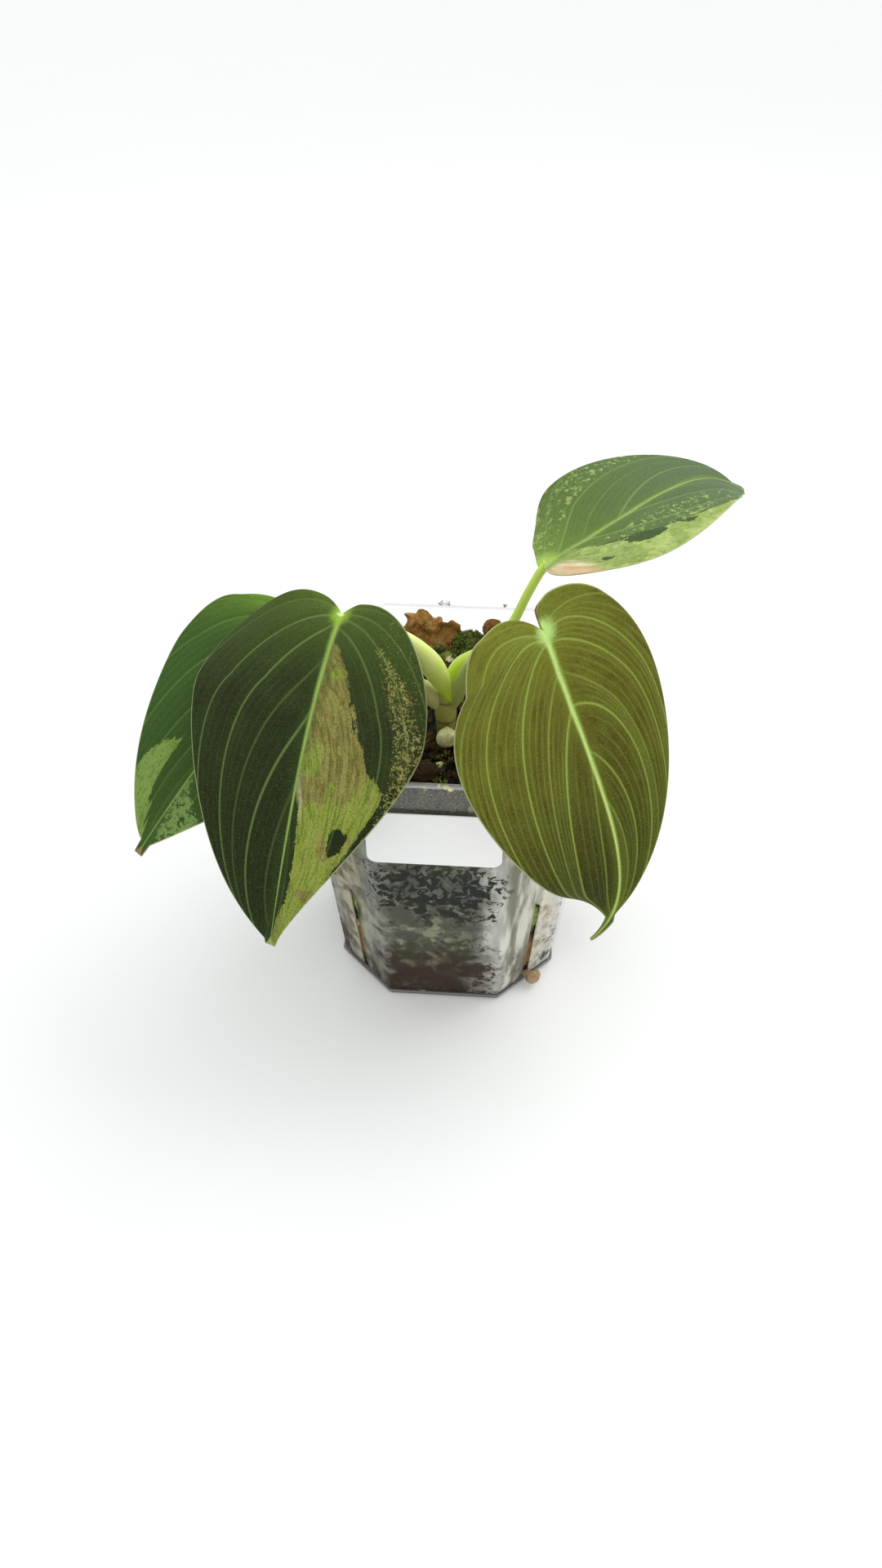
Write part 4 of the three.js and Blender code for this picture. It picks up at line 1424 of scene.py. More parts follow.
    def pressed_inside(self, points: Array, gap: float) -> Array:
        """Flattens what would cross the wall against it.

        Args:
            points: Places in millimetres.
            gap: Clearance to the wall's inner face.

        Returns:
            The places, moved inwards where they have to be.
        """
        width, chamfer = self.section(np.clip(points[:, 2], self.floor, self.shoulder))
        flat = (width / 2 - self.wall - gap)[:, None]
        diagonal = (width - chamfer) / math.sqrt(2) - self.wall - gap
        moved = points.copy()
        level = moved[:, :2]
        level[:] = np.clip(level, -flat, flat)
        excess = np.maximum(np.abs(level).sum(axis=1) / math.sqrt(2) - diagonal, 0) / math.sqrt(2)
        level -= np.sign(level) * excess[:, None]
        moved[:, 2] = np.maximum(moved[:, 2], self.floor + gap)
        return moved


# Scattered pieces


@dataclass(frozen=True)
class Scatter:
    """Geometry Nodes that strew copies of a few small shapes over a bed and make them one mesh.

    The density is in pieces to a square millimetre, the sizes are factors, and the lift is in millimetres.
    """

    name: str
    density: float
    seed: int
    smallest: float
    largest: float
    tilt: float
    lift: float = 0.0

    def settings(self) -> dict[str, float]:
        """Returns the values of the tree's inputs, in metres."""
        return {
            "Density": self.density * SQUARE_METRE, "Seed": self.seed, "Smallest": self.smallest,
            "Largest": self.largest, "Tilt": self.tilt, "Lift": self.lift * MM,
        }

    def tree(self, shapes: bpy.types.Collection, material: Material) -> bpy.types.NodeTree:
        """Builds the tree that draws the places, the turns and the sizes."""
        tree = bpy.data.node_groups.new(self.name, "GeometryNodeTree")
        tree.interface.new_socket("Bed", in_out="INPUT", socket_type="NodeSocketGeometry")
        for label, value in self.settings().items():
            kind = "NodeSocketInt" if isinstance(value, int) else "NodeSocketFloat"
            tree.interface.new_socket(label, in_out="INPUT", socket_type=kind)
        tree.interface.new_socket("Pieces", in_out="OUTPUT", socket_type="NodeSocketGeometry")
        given = add_node(tree, "NodeGroupInput").outputs
        seed = {"Seed": given["Seed"]}

        def node(kind: str, inputs: Inputs, **settings: object) -> Outputs:
            """Adds a node and returns its outputs."""
            return add_node(tree, kind, settings, inputs).outputs

        def draw(low: object, high: object, first: int, kind: str = "FLOAT") -> Outputs:
            """Adds a seeded draw between two values, of which the lower goes into the socket first."""
            return node("FunctionNodeRandomValue", {first: low, first + 1: high, **seed}, data_type=kind)

        bed = {"Mesh": given["Bed"], "Density": given["Density"], **seed}
        spread = node("GeometryNodeDistributePointsOnFaces", bed, distribute_method="RANDOM")
        lean = draw((-1.0, -1.0, -math.pi), (1.0, 1.0, math.pi), 0, "FLOAT_VECTOR")
        tilts = node("ShaderNodeCombineXYZ", {0: given["Tilt"], 1: given["Tilt"], 2: 1.0})
        scaled = node("ShaderNodeVectorMath", {0: lean[0], 1: tilts[0]}, operation="MULTIPLY")
        turn = node("FunctionNodeEulerToRotation", {0: scaled[0]})
        rotations = {0: spread["Rotation"], 1: turn[0]}
        turned = node("FunctionNodeRotateRotation", rotations, rotation_space="LOCAL")
        size = draw(given["Smallest"], given["Largest"], 2)
        lift = {0: spread["Normal"], "Scale": given["Lift"]}
        raised = node("ShaderNodeVectorMath", lift, operation="SCALE")
        placed = node("GeometryNodeSetPosition", {"Geometry": spread["Points"], "Offset": raised[0]})
        chosen = {"Collection": shapes, "Separate Children": True, "Reset Children": True}
        source = node("GeometryNodeCollectionInfo", chosen, transform_space="ORIGINAL")
        copies = {"Points": placed[0], "Rotation": turned[0], "Scale": size[1]}
        laid = node("GeometryNodeInstanceOnPoints", {"Instance": source[0], "Pick Instance": True, **copies})
        shade = {"Geometry": laid[0], "Name": "tone", "Value": draw(0.0, 1.0, 2)[1]}
        toned = node("GeometryNodeStoreNamedAttribute", shade, data_type="FLOAT", domain="INSTANCE")
        whole = node("GeometryNodeRealizeInstances", {"Geometry": toned[0]})
        dressed = node("GeometryNodeSetMaterial", {"Geometry": whole[0], "Material": material})
        node("NodeGroupOutput", {0: dressed[0]})
        return tree

    def over(self, bed: Shell, shapes: Sequence[Shell], material: Material) -> Piece:
        """Strews the shapes over a bed.

        Args:
            bed: The surface, in millimetres, which isn't kept.
            shapes: The small shapes about the origin, in millimetres.
            material: Their finish.

        Returns:
            One plain mesh of all copies, at the origin.
        """
        collection = bpy.data.collections.new(f"{self.name}_shapes")
        for k, shape in enumerate(shapes):
            item = shape.to_object(f"{self.name}_shape_{k}", material, False)
            bpy.context.scene.collection.objects.unlink(item)
            collection.objects.link(item)
        piece = bed.to_object(self.name, material, False)
        strew = piece.modifiers.new("strew", "NODES")
        strew.node_group = self.tree(collection, material)
        given = self.settings()
        for item in strew.node_group.interface.items_tree:
            if item.name in given:
                strew[item.identifier] = given[item.name]
        applied(piece)
        for item in list(collection.objects):
            bpy.data.objects.remove(item)
        bpy.data.collections.remove(collection)
        return piece


def shard(seed: int, size: Point, cuts: int = 7, depths: Pair = (0.45, 0.8)) -> Shell:
    """An angular chip: a ball cut flat by a few seeded planes.

    Args:
        seed: Fixes the chip's form.
        size: Its half lengths.
        cuts: How many planes cut it.
        depths: Nearest and farthest distance of a plane from the ball's middle.

    Returns:
        The closed chip about the origin.
    """
    flattening, unevenness = 0.95, 0.06
    draw = np.random.default_rng(seed)
    ball = bmesh.new()
    bmesh.ops.create_icosphere(ball, subdivisions=2, radius=1.0)
    points = np.array([v.co[:] for v in ball.verts])
    for _ in range(cuts):
        direction = unit(draw.normal(size=3))
        beyond = np.maximum(points @ direction - draw.uniform(*depths), 0)
        points -= beyond[:, None] * direction * flattening
    points *= 1 + unevenness * draw.normal(size=(len(points), 1))
    shell = Shell()
    shell.add(points * np.array(size))
    shell.faces = [tuple(v.index for v in f.verts) for f in ball.faces]
    ball.free()
    return shell


def tuft(seed: int, blades: int, length: float, width: float) -> Shell:
    """A sprig of moss: short pointed leaflets that spread from one root.

    Args:
        seed: Fixes the sprig's form.
        blades: How many leaflets it has.
        length: Length of the longest leaflet.
        width: Width of a leaflet.

    Returns:
        The closed leaflets, with their root at the origin.
    """
    turn_step, turn_jitter, leans, lengths = 2.4, 0.3, (0.25, 1.1), (0.6, 1.0)
    draw = np.random.default_rng(seed)
    shell = Shell()
    for k in range(blades):
        turn = turn_step * k + draw.uniform(-turn_jitter, turn_jitter)
        lean = draw.uniform(*leans)
        reach = length * draw.uniform(*lengths)
        spread, rise = math.sin(lean), math.cos(lean)
        outward = np.array((math.cos(turn) * spread, math.sin(turn) * spread, rise))
        beside = unit(np.cross(outward, (0.3, 0.2, 1.0))) * width / 2
        thick = unit(np.cross(beside, outward)) * width * 0.25
        middle = outward * reach * 0.55 + np.array((0, 0, reach * 0.06))
        ring = [middle + beside, middle - beside, middle + thick, middle - thick]
        start = shell.add(np.array([outward * reach * 0.05, *ring, outward * reach]))
        for a, b in ((1, 3), (3, 2), (2, 4), (4, 1)):
            shell.faces += [(start, start + b, start + a), (start + 5, start + a, start + b)]
    return shell


# Potting mix


@dataclass(frozen=True)
class PottingMix:
    """Coarse wet bark mix: a dark core, with chips, pumice and moss over its top and against the wall."""

    pot: Pot
    top: float = 88.0
    stem: Pair = (-1.6, -5.4)
    stem_clearance: float = 4.5
    heap: float = 2.4
    front_dip: float = 1.2
    around: int = 120
    levels: int = 44
    lumpiness: tuple[Point, ...] = ((1.5, 2, 7), (0.8, 6, 3.6))
    chip_behind: Point = (4.0, 6.0, 11.5)
    chip_place: Pair = (36.6, 15)
    cushion_behind: Point = (4.0, 6.0, 6.5)
    cushion_place: Pair = (37.6, 34)
    sprigs_behind: int = 6
    sprig_place: Pair = (38.6, 25.5)
    sprig_step: float = 2.4
    bark: Bark = Bark("mix_bark", (0.006, 0.004, 0.001), (0.026, 0.015, 0.003), (0.12, 0.065, 0.015))
    tan: Bark = Bark("tan_bark", (0.02, 0.01, 0.004), (0.12, 0.056, 0.016), (0.3, 0.17, 0.06), wet=0.3)

    def height(self, x: Array, y: Array) -> Array:
        """Returns the height of the lumpy top, heaped at the back and lowest along the front wall."""
        height = self.top + (self.heap * smoothstep(y, 5, 38) - self.front_dip * smoothstep(-y, 20, 42))
        for rise, seed, size in self.lumpiness:
            height = height + rise * lumps(x, y, seed, size)
        return height

    def outline(self, z: float, inset: float) -> Array:
        """Returns a level octagon inside the wall, with evenly shared points."""
        ring = self.pot.ring(self.pot.section(z), z, self.pot.wall + inset)
        closed = np.vstack([ring, ring[:1]])
        length = np.concatenate([[0], np.cumsum(np.linalg.norm(np.diff(closed, axis=0), axis=1))])
        at = np.linspace(0, length[-1], self.around, endpoint=False)
        return np.column_stack([np.interp(at, length, column) for column in closed.T])

    def top_rings(self, inset: float, drop: float, count: int) -> list[Array]:
        """Returns rings of the top from its edge to near its middle."""
        edge = self.outline(self.top - 2, inset)
        rings = [edge * (share, share, 1) for share in np.linspace(1, 0.02, count)]
        for ring in rings:
            ring[:, 2] = self.height(ring[:, 0], ring[:, 1]) - drop
        return rings

    def side_rings(self, inset: float) -> list[Array]:
        """Returns rings of the side from the floor up to just under the top."""
        heights = np.linspace(self.pot.floor + 0.6, self.top - 3.5, self.levels)
        return [self.outline(z, inset) for z in heights]

    def build(self) -> None:
        """Builds the core and everything strewn over it."""
        self._core()
        bark = self.bark.material()
        pumice, moss = Pumice("mix_pumice").material(), Moss("mix_moss").material()
        chips = [shard(k, (0.5, 0.34, 0.17)) for k in range(6)]
        grains = [shard(k + 20, (0.5, 0.43, 0.38), 5) for k in range(4)]
        sprigs = [tuft(k + 40, 7, 1.0, 0.22) for k in range(4)]
        top, side = self._top_bed(), self._side_bed()
        layers = (
            (Scatter("bark_chips_top", 0.085, 3, 3.0, 8.0, 0.5, 0.2), top, chips, bark, "bark"),
            (Scatter("bark_crumbs_top", 0.22, 5, 1.1, 2.6, 0.8, 0.3), top, chips, bark, "bark"),
            (Scatter("pumice_top", 0.012, 7, 2.6, 5.2, 0.4, 0.4), top, grains, pumice, "pumice"),
            (Scatter("moss_top", 0.07, 9, 1.6, 3.4, 0.5, 0.4), top, sprigs, moss, "moss"),
            (Scatter("bark_chips_side", 0.028, 11, 3.5, 10.0, 0.12, 0.1), side, chips, bark, "bark"),
            (Scatter("pumice_side", 0.0065, 13, 2.6, 8.5, 0.2, 0.1), side, grains, pumice, "pumice"),
            (Scatter("moss_side", 0.014, 15, 2.0, 5.0, 0.3, 0.1), side, sprigs, moss, "moss"),
        )
        for scatter, bed, shapes, material, slot in layers:
            piece = scatter.over(bed, shapes, material)
            move_vertices(piece, self.pot.pressed_inside(coordinates(piece), 0.25))
            settle(piece, slot)
        self._fill_slots(moss)

    def _core(self) -> None:
        """Builds the solid core with its rough skin."""
        shell = Shell()
        shell.loft(self.side_rings(1.0) + self.top_rings(1.2, 0.9, 34))
        core = shell.to_object("mix_core", WetCore().material())
        points = coordinates(core)
        rough = rough_noise(points, 2.6, 4.0) * 0.8
        rough_points = points + vertex_rows(core, "normal") * rough[:, None]
        move_vertices(core, self.pot.pressed_inside(rough_points, 0.45))
        settle(core, "wet_bark_mix", "potting_mix")

    def _fill_slots(self, moss: Material) -> None:
        """Stands a long chip and a little moss behind every slot."""
        chips, tufts = Shell(), Shell()

        def place(corner: float, reach: float, height: float) -> Array:
            """Returns the place behind a slot at a distance from the axis and a height."""
            return compass(corner)[0] * reach + (0, 0, height)

        for k, corner in enumerate(SLOT_CORNERS):
            turn = math.radians(corner)
            chips.include(shard(k + 70, self.chip_behind), place(corner, *self.chip_place), turn)
            tufts.include(shard(k + 75, self.cushion_behind), place(corner, *self.cushion_place), turn)
            reach, lowest = self.sprig_place
            for j in range(self.sprigs_behind):
                at = place(corner, reach, lowest + self.sprig_step * j)
                tufts.include(tuft(k + 30 + j, 8, 2.6, 0.7), at, turn + j)
        behind = (
            (chips, "bark_behind_slots", self.tan.material(), "bark"),
            (tufts, "moss_behind_slots", moss, "moss"),
        )
        for shell, name, material, slot in behind:
            shell.vertices = [self.pot.pressed_inside(np.vstack(shell.vertices), 0.12)]
            shell.values["tone"] = 0.75
            settle(shell.to_object(name, material, False), slot)

    def _top_bed(self) -> Shell:
        """Returns the top as a bed, open round the stem."""
        shell = Shell()
        shell.loft(self.top_rings(2.2, 0.3, 24), False)
        points = np.vstack(shell.vertices)
        clear = np.linalg.norm(points[:, :2] - np.array(self.stem), axis=1) > self.stem_clearance
        shell.faces = [face for face in shell.faces if clear[list(face)].all()]
        return shell

    def _side_bed(self) -> Shell:
        """Returns the side as a bed."""
        shell = Shell()
        shell.loft(self.side_rings(1.1), False)
        return shell


# What lies on the mix


@dataclass(frozen=True)
class Nugget:
    """A piece that lies on the mix: a finer copy of its solid, roughened along its faces."""

    node: str
    slot: str
    voxel: float = 0.42
    relief: float = 0.3
    lump: float = 1.8
    warp: float = 0.0
    warp_size: float = 5.0
    smoothing: int = 4

    def build(self, nodes: dict[str, Piece], material: Material) -> Piece:
        """Builds the fine copy.

        Args:
            nodes: The fixed frame's solids by name.
            material: The finish.

        Returns:
            The piece that stands for the solid.
        """
        mesh = bpy.data.meshes.new(f"fine_{self.node}")
        merged = bmesh.new()
        merged.from_mesh(nodes[self.node].data)
        bmesh.ops.remove_doubles(merged, verts=merged.verts, dist=1e-6)
        merged.to_mesh(mesh)
        merged.free()
        mesh.materials.clear()
        mesh.materials.append(material)
        piece = linked(mesh.name, mesh)
        remesh = piece.modifiers.new("remesh", "REMESH")
        remesh.mode = "VOXEL"
        remesh.voxel_size = self.voxel * MM
        piece.modifiers.new("smooth", "SMOOTH").iterations = self.smoothing
        applied(piece)
        seed = sum(map(ord, self.node)) % 97
        points = coordinates(piece)
        if self.warp:
            bends = [rough_noise(points, self.warp_size, seed + k, 2) for k in (11, 12, 13)]
            points += np.stack(bends, axis=1) * self.warp
        coarse = rough_noise(points, self.lump, seed)
        fine = rough_noise(points, self.lump * 0.3, seed + 3, 2)
        rough = (coarse * 0.7 + fine * 0.3) * self.relief
        move_vertices(piece, points + vertex_rows(piece, "normal") * rough[:, None])
        tag(piece.data, "tone", 0.35 + 0.4 * (seed % 7) / 7)
        piece.data.polygons.foreach_set("use_smooth", [True] * len(piece.data.polygons))
        return settle(piece, self.slot, self.node)


@dataclass(frozen=True)
class TopDressing:
    """The larger nuggets, curled flakes and moss cushions on the mix, and the crumbs left on the rim."""

    pumices: tuple[str, ...] = ("pumice_front", "pumice_left", "pumice_right", "pumice_back")
    barks: tuple[str, ...] = ("bark_ball", "bark_under_ball", "bark_right", "bark_front", "bark_bit")
    flakes: tuple[str, ...] = ("bark_flake_back", "bark_flake_left", "bark_flake_side")
    mosses: tuple[str, ...] = ("moss_back", "moss_left")
    crumbs: tuple[Point, ...] = ((1.0, -45.1, 99.5), (2.4, -45.0, 98.9), (-0.6, -45.0, 99.7))
    wisps: tuple[Point, ...] = (
        (-6.4, 44.3, 99.9), (-4.2, 44.4, 99.9), (14.2, 44.2, 99.9), (-0.4, -17.9, 88.2),
        (-2.1, -19.6, 88.4), (1.1, -20.8, 88), (2.3, -18.2, 88.6), (-0.6, -22.2, 87.6),
    )
    mounds: tuple[Point, ...] = ((-9.5, 28.6, 90.6), (-3.4, 27.6, 90.4), (2.4, 28.4, 90.2))
    wisp_length: float = 2.4
    mound_wisps: int = 34
    mound_box: tuple[Pair, Pair, Pair] = ((-13, 5), (24.5, 30.5), (91.5, 93.5))
    dark: Bark = Bark("bark", (0.012, 0.007, 0.003), (0.05, 0.027, 0.011), (0.2, 0.12, 0.055))
    pale: Bark = Bark("pale_bark", (0.08, 0.04, 0.015), (0.32, 0.21, 0.1), (0.6, 0.45, 0.28))
    curled: Bark = Bark(
        "curled_bark", (0.05, 0.02, 0.004), (0.36, 0.17, 0.04), (0.8, 0.5, 0.2), (1.0, 2.4, 0.8), 0.6
    )

    def build(self, nodes: dict[str, Piece]) -> None:
        """Builds every loose piece."""
        stone, green = Pumice().material(), Moss().material()
        dark, pale, curled = self.dark.material(), self.pale.material(), self.curled.material()
        for node in self.pumices:
            Nugget(node, "pumice", relief=0.4, lump=1.6, warp=0.6).build(nodes, stone)
        finishes = {"bark_ball": curled, "bark_bit": pale}
        for node in self.barks:
            Nugget(node, "bark", relief=0.45).build(nodes, finishes.get(node, dark))
        for node in self.flakes:
            Nugget(node, "bark", voxel=0.36, relief=0.45, lump=2.2, warp=2.2).build(nodes, curled)
        self._loose(stone, green)
        sprigs = [tuft(k + 60, 8, 1.0, 0.2) for k in range(4)]
        for k, node in enumerate(self.mosses):
            cushion = Nugget(node, "moss", relief=0.4, lump=1.4).build(nodes, green)
            bed = Shell([coordinates(cushion)], [tuple(face.vertices) for face in cushion.data.polygons])
            settle(Scatter(f"{node}_sprigs", 1.1, 21 + k, 1.2, 2.4, 0.6).over(bed, sprigs, green), "moss")

    def _loose(self, stone: Material, green: Material) -> None:
        """Lays the crumbs on the rim and the loose moss on the mix."""
        crumbs, moss = Shell(), Shell()
        for k, place in enumerate(self.crumbs):
            crumbs.include(shard(k + 80, (1.2 - 0.3 * k, 0.5, 0.8)), place)
        draw = np.random.default_rng(5)
        around = [[draw.uniform(*sides) for sides in self.mound_box] for _ in range(self.mound_wisps)]
        for k, place in enumerate([*self.wisps, *around]):
            moss.include(tuft(k + 90, 8, self.wisp_length - 0.1 * (k % 5), 0.42), place, 1.3 * k)
        for k, place in enumerate(self.mounds):
            moss.include(shard(k + 50, (3.8, 2.8, 2.6)), place)
        loose = ((crumbs, "rim_crumbs", stone, "pumice"), (moss, "loose_moss", green, "moss"))
        for shell, name, material, slot in loose:
            shell.values["tone"] = 0.85
            settle(shell.to_object(name, material), slot)


# Studio


@dataclass(frozen=True)
class Studio:
    """A pale floor, soft light from all round with one large soft lamp, and the camera.

    The floor and the lamp are in metres, the camera's place in millimetres.
    """

    lens: float = 26.35
    sensor: float = 36.0
    eye: Point = (15.91, -274.36, 297.55)
    looking_down: float = 40.59
    heading: float = 4.0
    nearest: float = 0.01
    floor_size: float = 9.0
    ambient: float = 1.0
    ambient_tint: Tint = (0.99, 1.0, 1.0)
    lamp_power: float = 2.6
    lamp_size: float = 0.7
    lamp_place: Point = (0.45, 0.3, 0.75)
    lamp_aim: Point = (0, 0, 0.1)

    def build(self) -> None:
        """Builds the floor, the light and the camera."""
        corners = np.array([(-1, -1, 0), (1, -1, 0), (1, 1, 0), (-1, 1, 0)]) * self.floor_size / 2 / MM
        floor = Shell([corners], [(0, 1, 2, 3)])
        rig.stage(floor.to_object("floor", StudioFloor().material(), False))
        self._light()
        self._camera()

    def _light(self) -> None:
        """Sets the even surround and hangs the lamp."""
        world = bpy.data.worlds.new("studio")
        world.use_nodes = True
        surround = world.node_tree.nodes["Background"]
        surround.inputs["Color"].default_value = (*self.ambient_tint, 1.0)
        surround.inputs["Strength"].default_value = self.ambient
        bpy.context.scene.world = world
        bpy.context.scene.view_settings.view_transform = "Standard"
        lamp = bpy.data.lights.new("soft_lamp", "AREA")
        lamp.shape = "DISK"
        lamp.size = self.lamp_size
        lamp.energy = self.lamp_power
        hung = linked("soft_lamp", lamp)
        hung.location = self.lamp_place
        hung.rotation_euler = (Vector(self.lamp_aim) - hung.location).to_track_quat("-Z", "Y").to_euler()

    def _camera(self) -> None:
        """Sets up the camera at the photograph's viewing angle."""
        lens = bpy.data.cameras.new("camera")
        lens.lens = self.lens
        lens.sensor_width = self.sensor
        lens.clip_start = self.nearest
        camera = linked("camera", lens)
        camera.location = Vector(self.eye) * MM
        camera.rotation_euler = Euler((math.radians(90 - self.looking_down), 0, math.radians(self.heading)))
        bpy.context.scene.camera = camera


# The plant's own blades and petioles


def front_left_blade() -> Blade:
    """Returns the large dark blade with the gold sector on its left half."""
    finish = VelvetBlade(
        "leaf_dark_variegated", base=(0.1, 0.16, 0.026), middle=(0.021, 0.026, 0.009),
        tip=(0.013, 0.018, 0.006), between=(0.05, 0.08, 0.018), vein=(0.2, 0.31, 0.085),
        rib=(0.34, 0.5, 0.1), insertion=(0.34, 0.56, 0.06), pale=(0.23, 0.3, 0.035),
        pale_brown=(0.205, 0.172, 0.042), marble=(0.38, 0.37, 0.12), under=(0.2, 0.22, 0.1), rib_width=1.45,
        rib_taper=1.02, insertion_reach=4.6, minor_glow=0.04, weave=0.4,
    )
    right = Half((0.1, 0.054), (0.39, 0.076), (38, 0.255), 0.12, (0.49, 0.19), (
        Vein(0.08, 0.5, 3.0, 0.5), Vein(0.15, 0.72, 1.45, 1.0), Vein(0.2, 0.86, 0.92, 1.0),
        Vein(0.4, 0.88, 0.75, 0.4), Vein(0.57, 0.9, 0.66, 1.0), Vein(0.72, 0.97, 0.6, 0.3),
    ))
    left = Half((0.145, 0.037), (0.22, 0.039), (31.8, 0.34), 0.255, (0.09, 0.2), (
        Vein(0.1, 0.32, 2.4, 0.4), Vein(0.17, 0.46, 2.2, 0.7), Vein(0.18, 0.6, 1.5, 0.7),
        Vein(0.25, 0.74, 1.25, 0.7), Vein(0.48, 0.82, 1.05, 0.5), Vein(0.63, 0.9, 1.0, 0.4),
        Vein(0.8, 0.97, 0.9, 0.2),
    ))
    markings = (
        Marking(Patch.PALE, Side.LEFT, (
            (0, 0.34), (0.1, 0.36), (0.15, 0.4), (0.2, 0.43), (0.3, 0.48), (0.38, 0.52),
            (0.42, 0.55), (0.5, 0.575), (0.58, 0.59), (0.68, 0.61), (0.85, 0.615), (1, 0.66),
        )),
        Marking(Patch.DARK, Side.LEFT, ((0, 0.74), (0.12, 0.755), (0.25, 0.79), (0.4, 0.82), (0.6, 0.865)),
                ((0, 0.985), (0.2, 0.97), (0.35, 0.95), (0.5, 0.915), (0.6, 0.88))),
        Marking(Patch.DARK, Side.LEFT, ((0.69, 0.715), (0.75, 0.702), (0.85, 0.7), (0.89, 0.72)),
                ((0.69, 0.725), (0.75, 0.742), (0.83, 0.745), (0.89, 0.73))),
        Marking(Patch.DARK, Side.LEFT, ((0.9, 0.6), (0.94, 0.55), (1, 0.52)),
                ((0.9, 0.62), (0.94, 0.7), (1, 0.77))),
        Marking(Patch.MARBLE, Side.LEFT,
                ((0.56, 0.37), (0.6, 0.365), (0.7, 0.4), (0.8, 0.425), (0.9, 0.47), (1, 0.5)),
                ((0.56, 0.38), (0.62, 0.43), (0.67, 0.47), (0.73, 0.5), (0.8, 0.54), (0.88, 0.6), (1, 0.66)),
                0.4),
        Marking(Patch.MARBLE, Side.LEFT, ((0.72, 0.34), (0.85, 0.31), (1, 0.28)),
                ((0.72, 0.36), (0.85, 0.44), (1, 0.66)), -0.9),
        Marking(Patch.MARBLE, Side.RIGHT, ((0.5, 0.3), (0.8, 0.3)), ((0.5, 0.34), (0.8, 0.38)), -1.9),
        Marking(Patch.BLUSH, Side.LEFT, ((0, 0.72), (0.1, 0.72)), ((0, 0.74), (0.1, 0.74)), -1.2),
    )
    return Blade("front_left", "leaf_dark_variegated",
                 ((-28.5, -16.9, 134), (-35.6, -39.7, 118.3), (-39.4, -62.2, 94.1), (-45.1, -69, 60.7)),
                 (-15.7, 20.3), 0.0039, 0.088, (1.9, 0.985), 1.5, right, left, finish, markings)


def upper_right_blade() -> Blade:
    """Returns the level green blade with mottled pale margins."""
    finish = VelvetBlade(
        "leaf_green_variegated", base=(0.2, 0.31, 0.05), middle=(0.105, 0.165, 0.045),
        tip=(0.1, 0.14, 0.085), between=(0.15, 0.24, 0.05), vein=(0.26, 0.4, 0.11), rib=(0.32, 0.48, 0.12),
        insertion=(0.42, 0.62, 0.12), pale=(0.46, 0.58, 0.17), pale_brown=(0.3, 0.4, 0.1),
        marble=(0.36, 0.44, 0.19), blush=(0.74, 0.45, 0.28), dark=(0.06, 0.1, 0.035),
        under=(0.25, 0.36, 0.14), rib_width=1.35, insertion_reach=7.0, vein_glow=0.3, minor_glow=0.07,
        marble_grain=2.4, roughness=0.55,
    )
    right = Half((0.139, -0.001), (0.15, -0.002), (24.4, 0.23), 0.26, (0.39, 0.05), (
        Vein(0.12, 0.45, 1.8, 0.4), Vein(0.2, 0.66, 1.1, 0.6), Vein(0.41, 0.74, 0.7, 0.9),
        Vein(0.58, 0.82, 0.6, 0.7), Vein(0.74, 0.9, 0.7, 0.4),
    ))
    left = Half((-0.05, 0.03), (0.36, 0.007), (28.1, 0.26), 0.55, (-0.22, 0.19), (
        Vein(0.1, 0.34, 2.4, 0.4), Vein(0.15, 0.55, 1.5, 0.6), Vein(0.24, 0.72, 0.95, 1.0),
        Vein(0.4, 0.76, 0.9, 0.3), Vein(0.56, 0.8, 0.85, 0.8), Vein(0.74, 0.9, 0.8, 0.4),
    ))
    markings = (
        Marking(Patch.MARBLE, Side.LEFT, ((0.5, 0.2), (0.8, 0.14), (1, 0.12)),
                ((0.5, 0.24), (0.8, 0.36), (1, 0.42)), 0.3),
        Marking(Patch.MARBLE, Side.LEFT, ((0.3, 0.26), (0.6, 0.3), (1, 0.42)),
                ((0.3, 0.34), (0.6, 0.5), (0.8, 0.6), (1, 0.68)), -0.1),
        Marking(Patch.PALE, Side.RIGHT, ((0.06, 0.3), (0.3, 0.27), (1, 0.2)),
                ((0.06, 0.34), (0.2, 0.4), (0.35, 0.47), (0.5, 0.54), (0.7, 0.61), (1, 0.72))),
        Marking(Patch.MARBLE, Side.RIGHT, ((0.2, 0.42), (0.7, 0.6), (1, 0.68)),
                ((0.2, 0.6), (0.7, 0.76), (1, 0.84)), -0.5),
        Marking(Patch.DARK, Side.RIGHT, ((0.66, 0.41), (0.72, 0.405), (0.76, 0.415)),
                ((0.66, 0.42), (0.72, 0.435), (0.76, 0.425))),
        Marking(Patch.DARK, Side.RIGHT, ((0.3, 0.42), (0.44, 0.49), (0.55, 0.49), (0.68, 0.53)),
                ((0.3, 0.43), (0.44, 0.53), (0.6, 0.57), (0.68, 0.57))),
        Marking(Patch.DARK, Side.RIGHT, ((0.64, 0.59), (0.8, 0.6)), ((0.64, 0.6), (0.8, 0.62))),
        Marking(Patch.BLUSH, Side.RIGHT, ((0.5, 0.28), (0.7, 0.25), (1, 0.22)),
                ((0.5, 0.33), (0.7, 0.37), (1, 0.4))),
    )
    return Blade("upper_right", "leaf_green_variegated",
                 ((24.4, 6.7, 137.3), (50.5, 12.7, 150.8), (67.3, 48.5, 152.8), (84.4, 49.6, 139.9)),
                 (9.9, -11.6), 0.0034, 0.148, (1.6, 0.985), 1.2, right, left, finish, markings,
                 wave_seed=2.4)


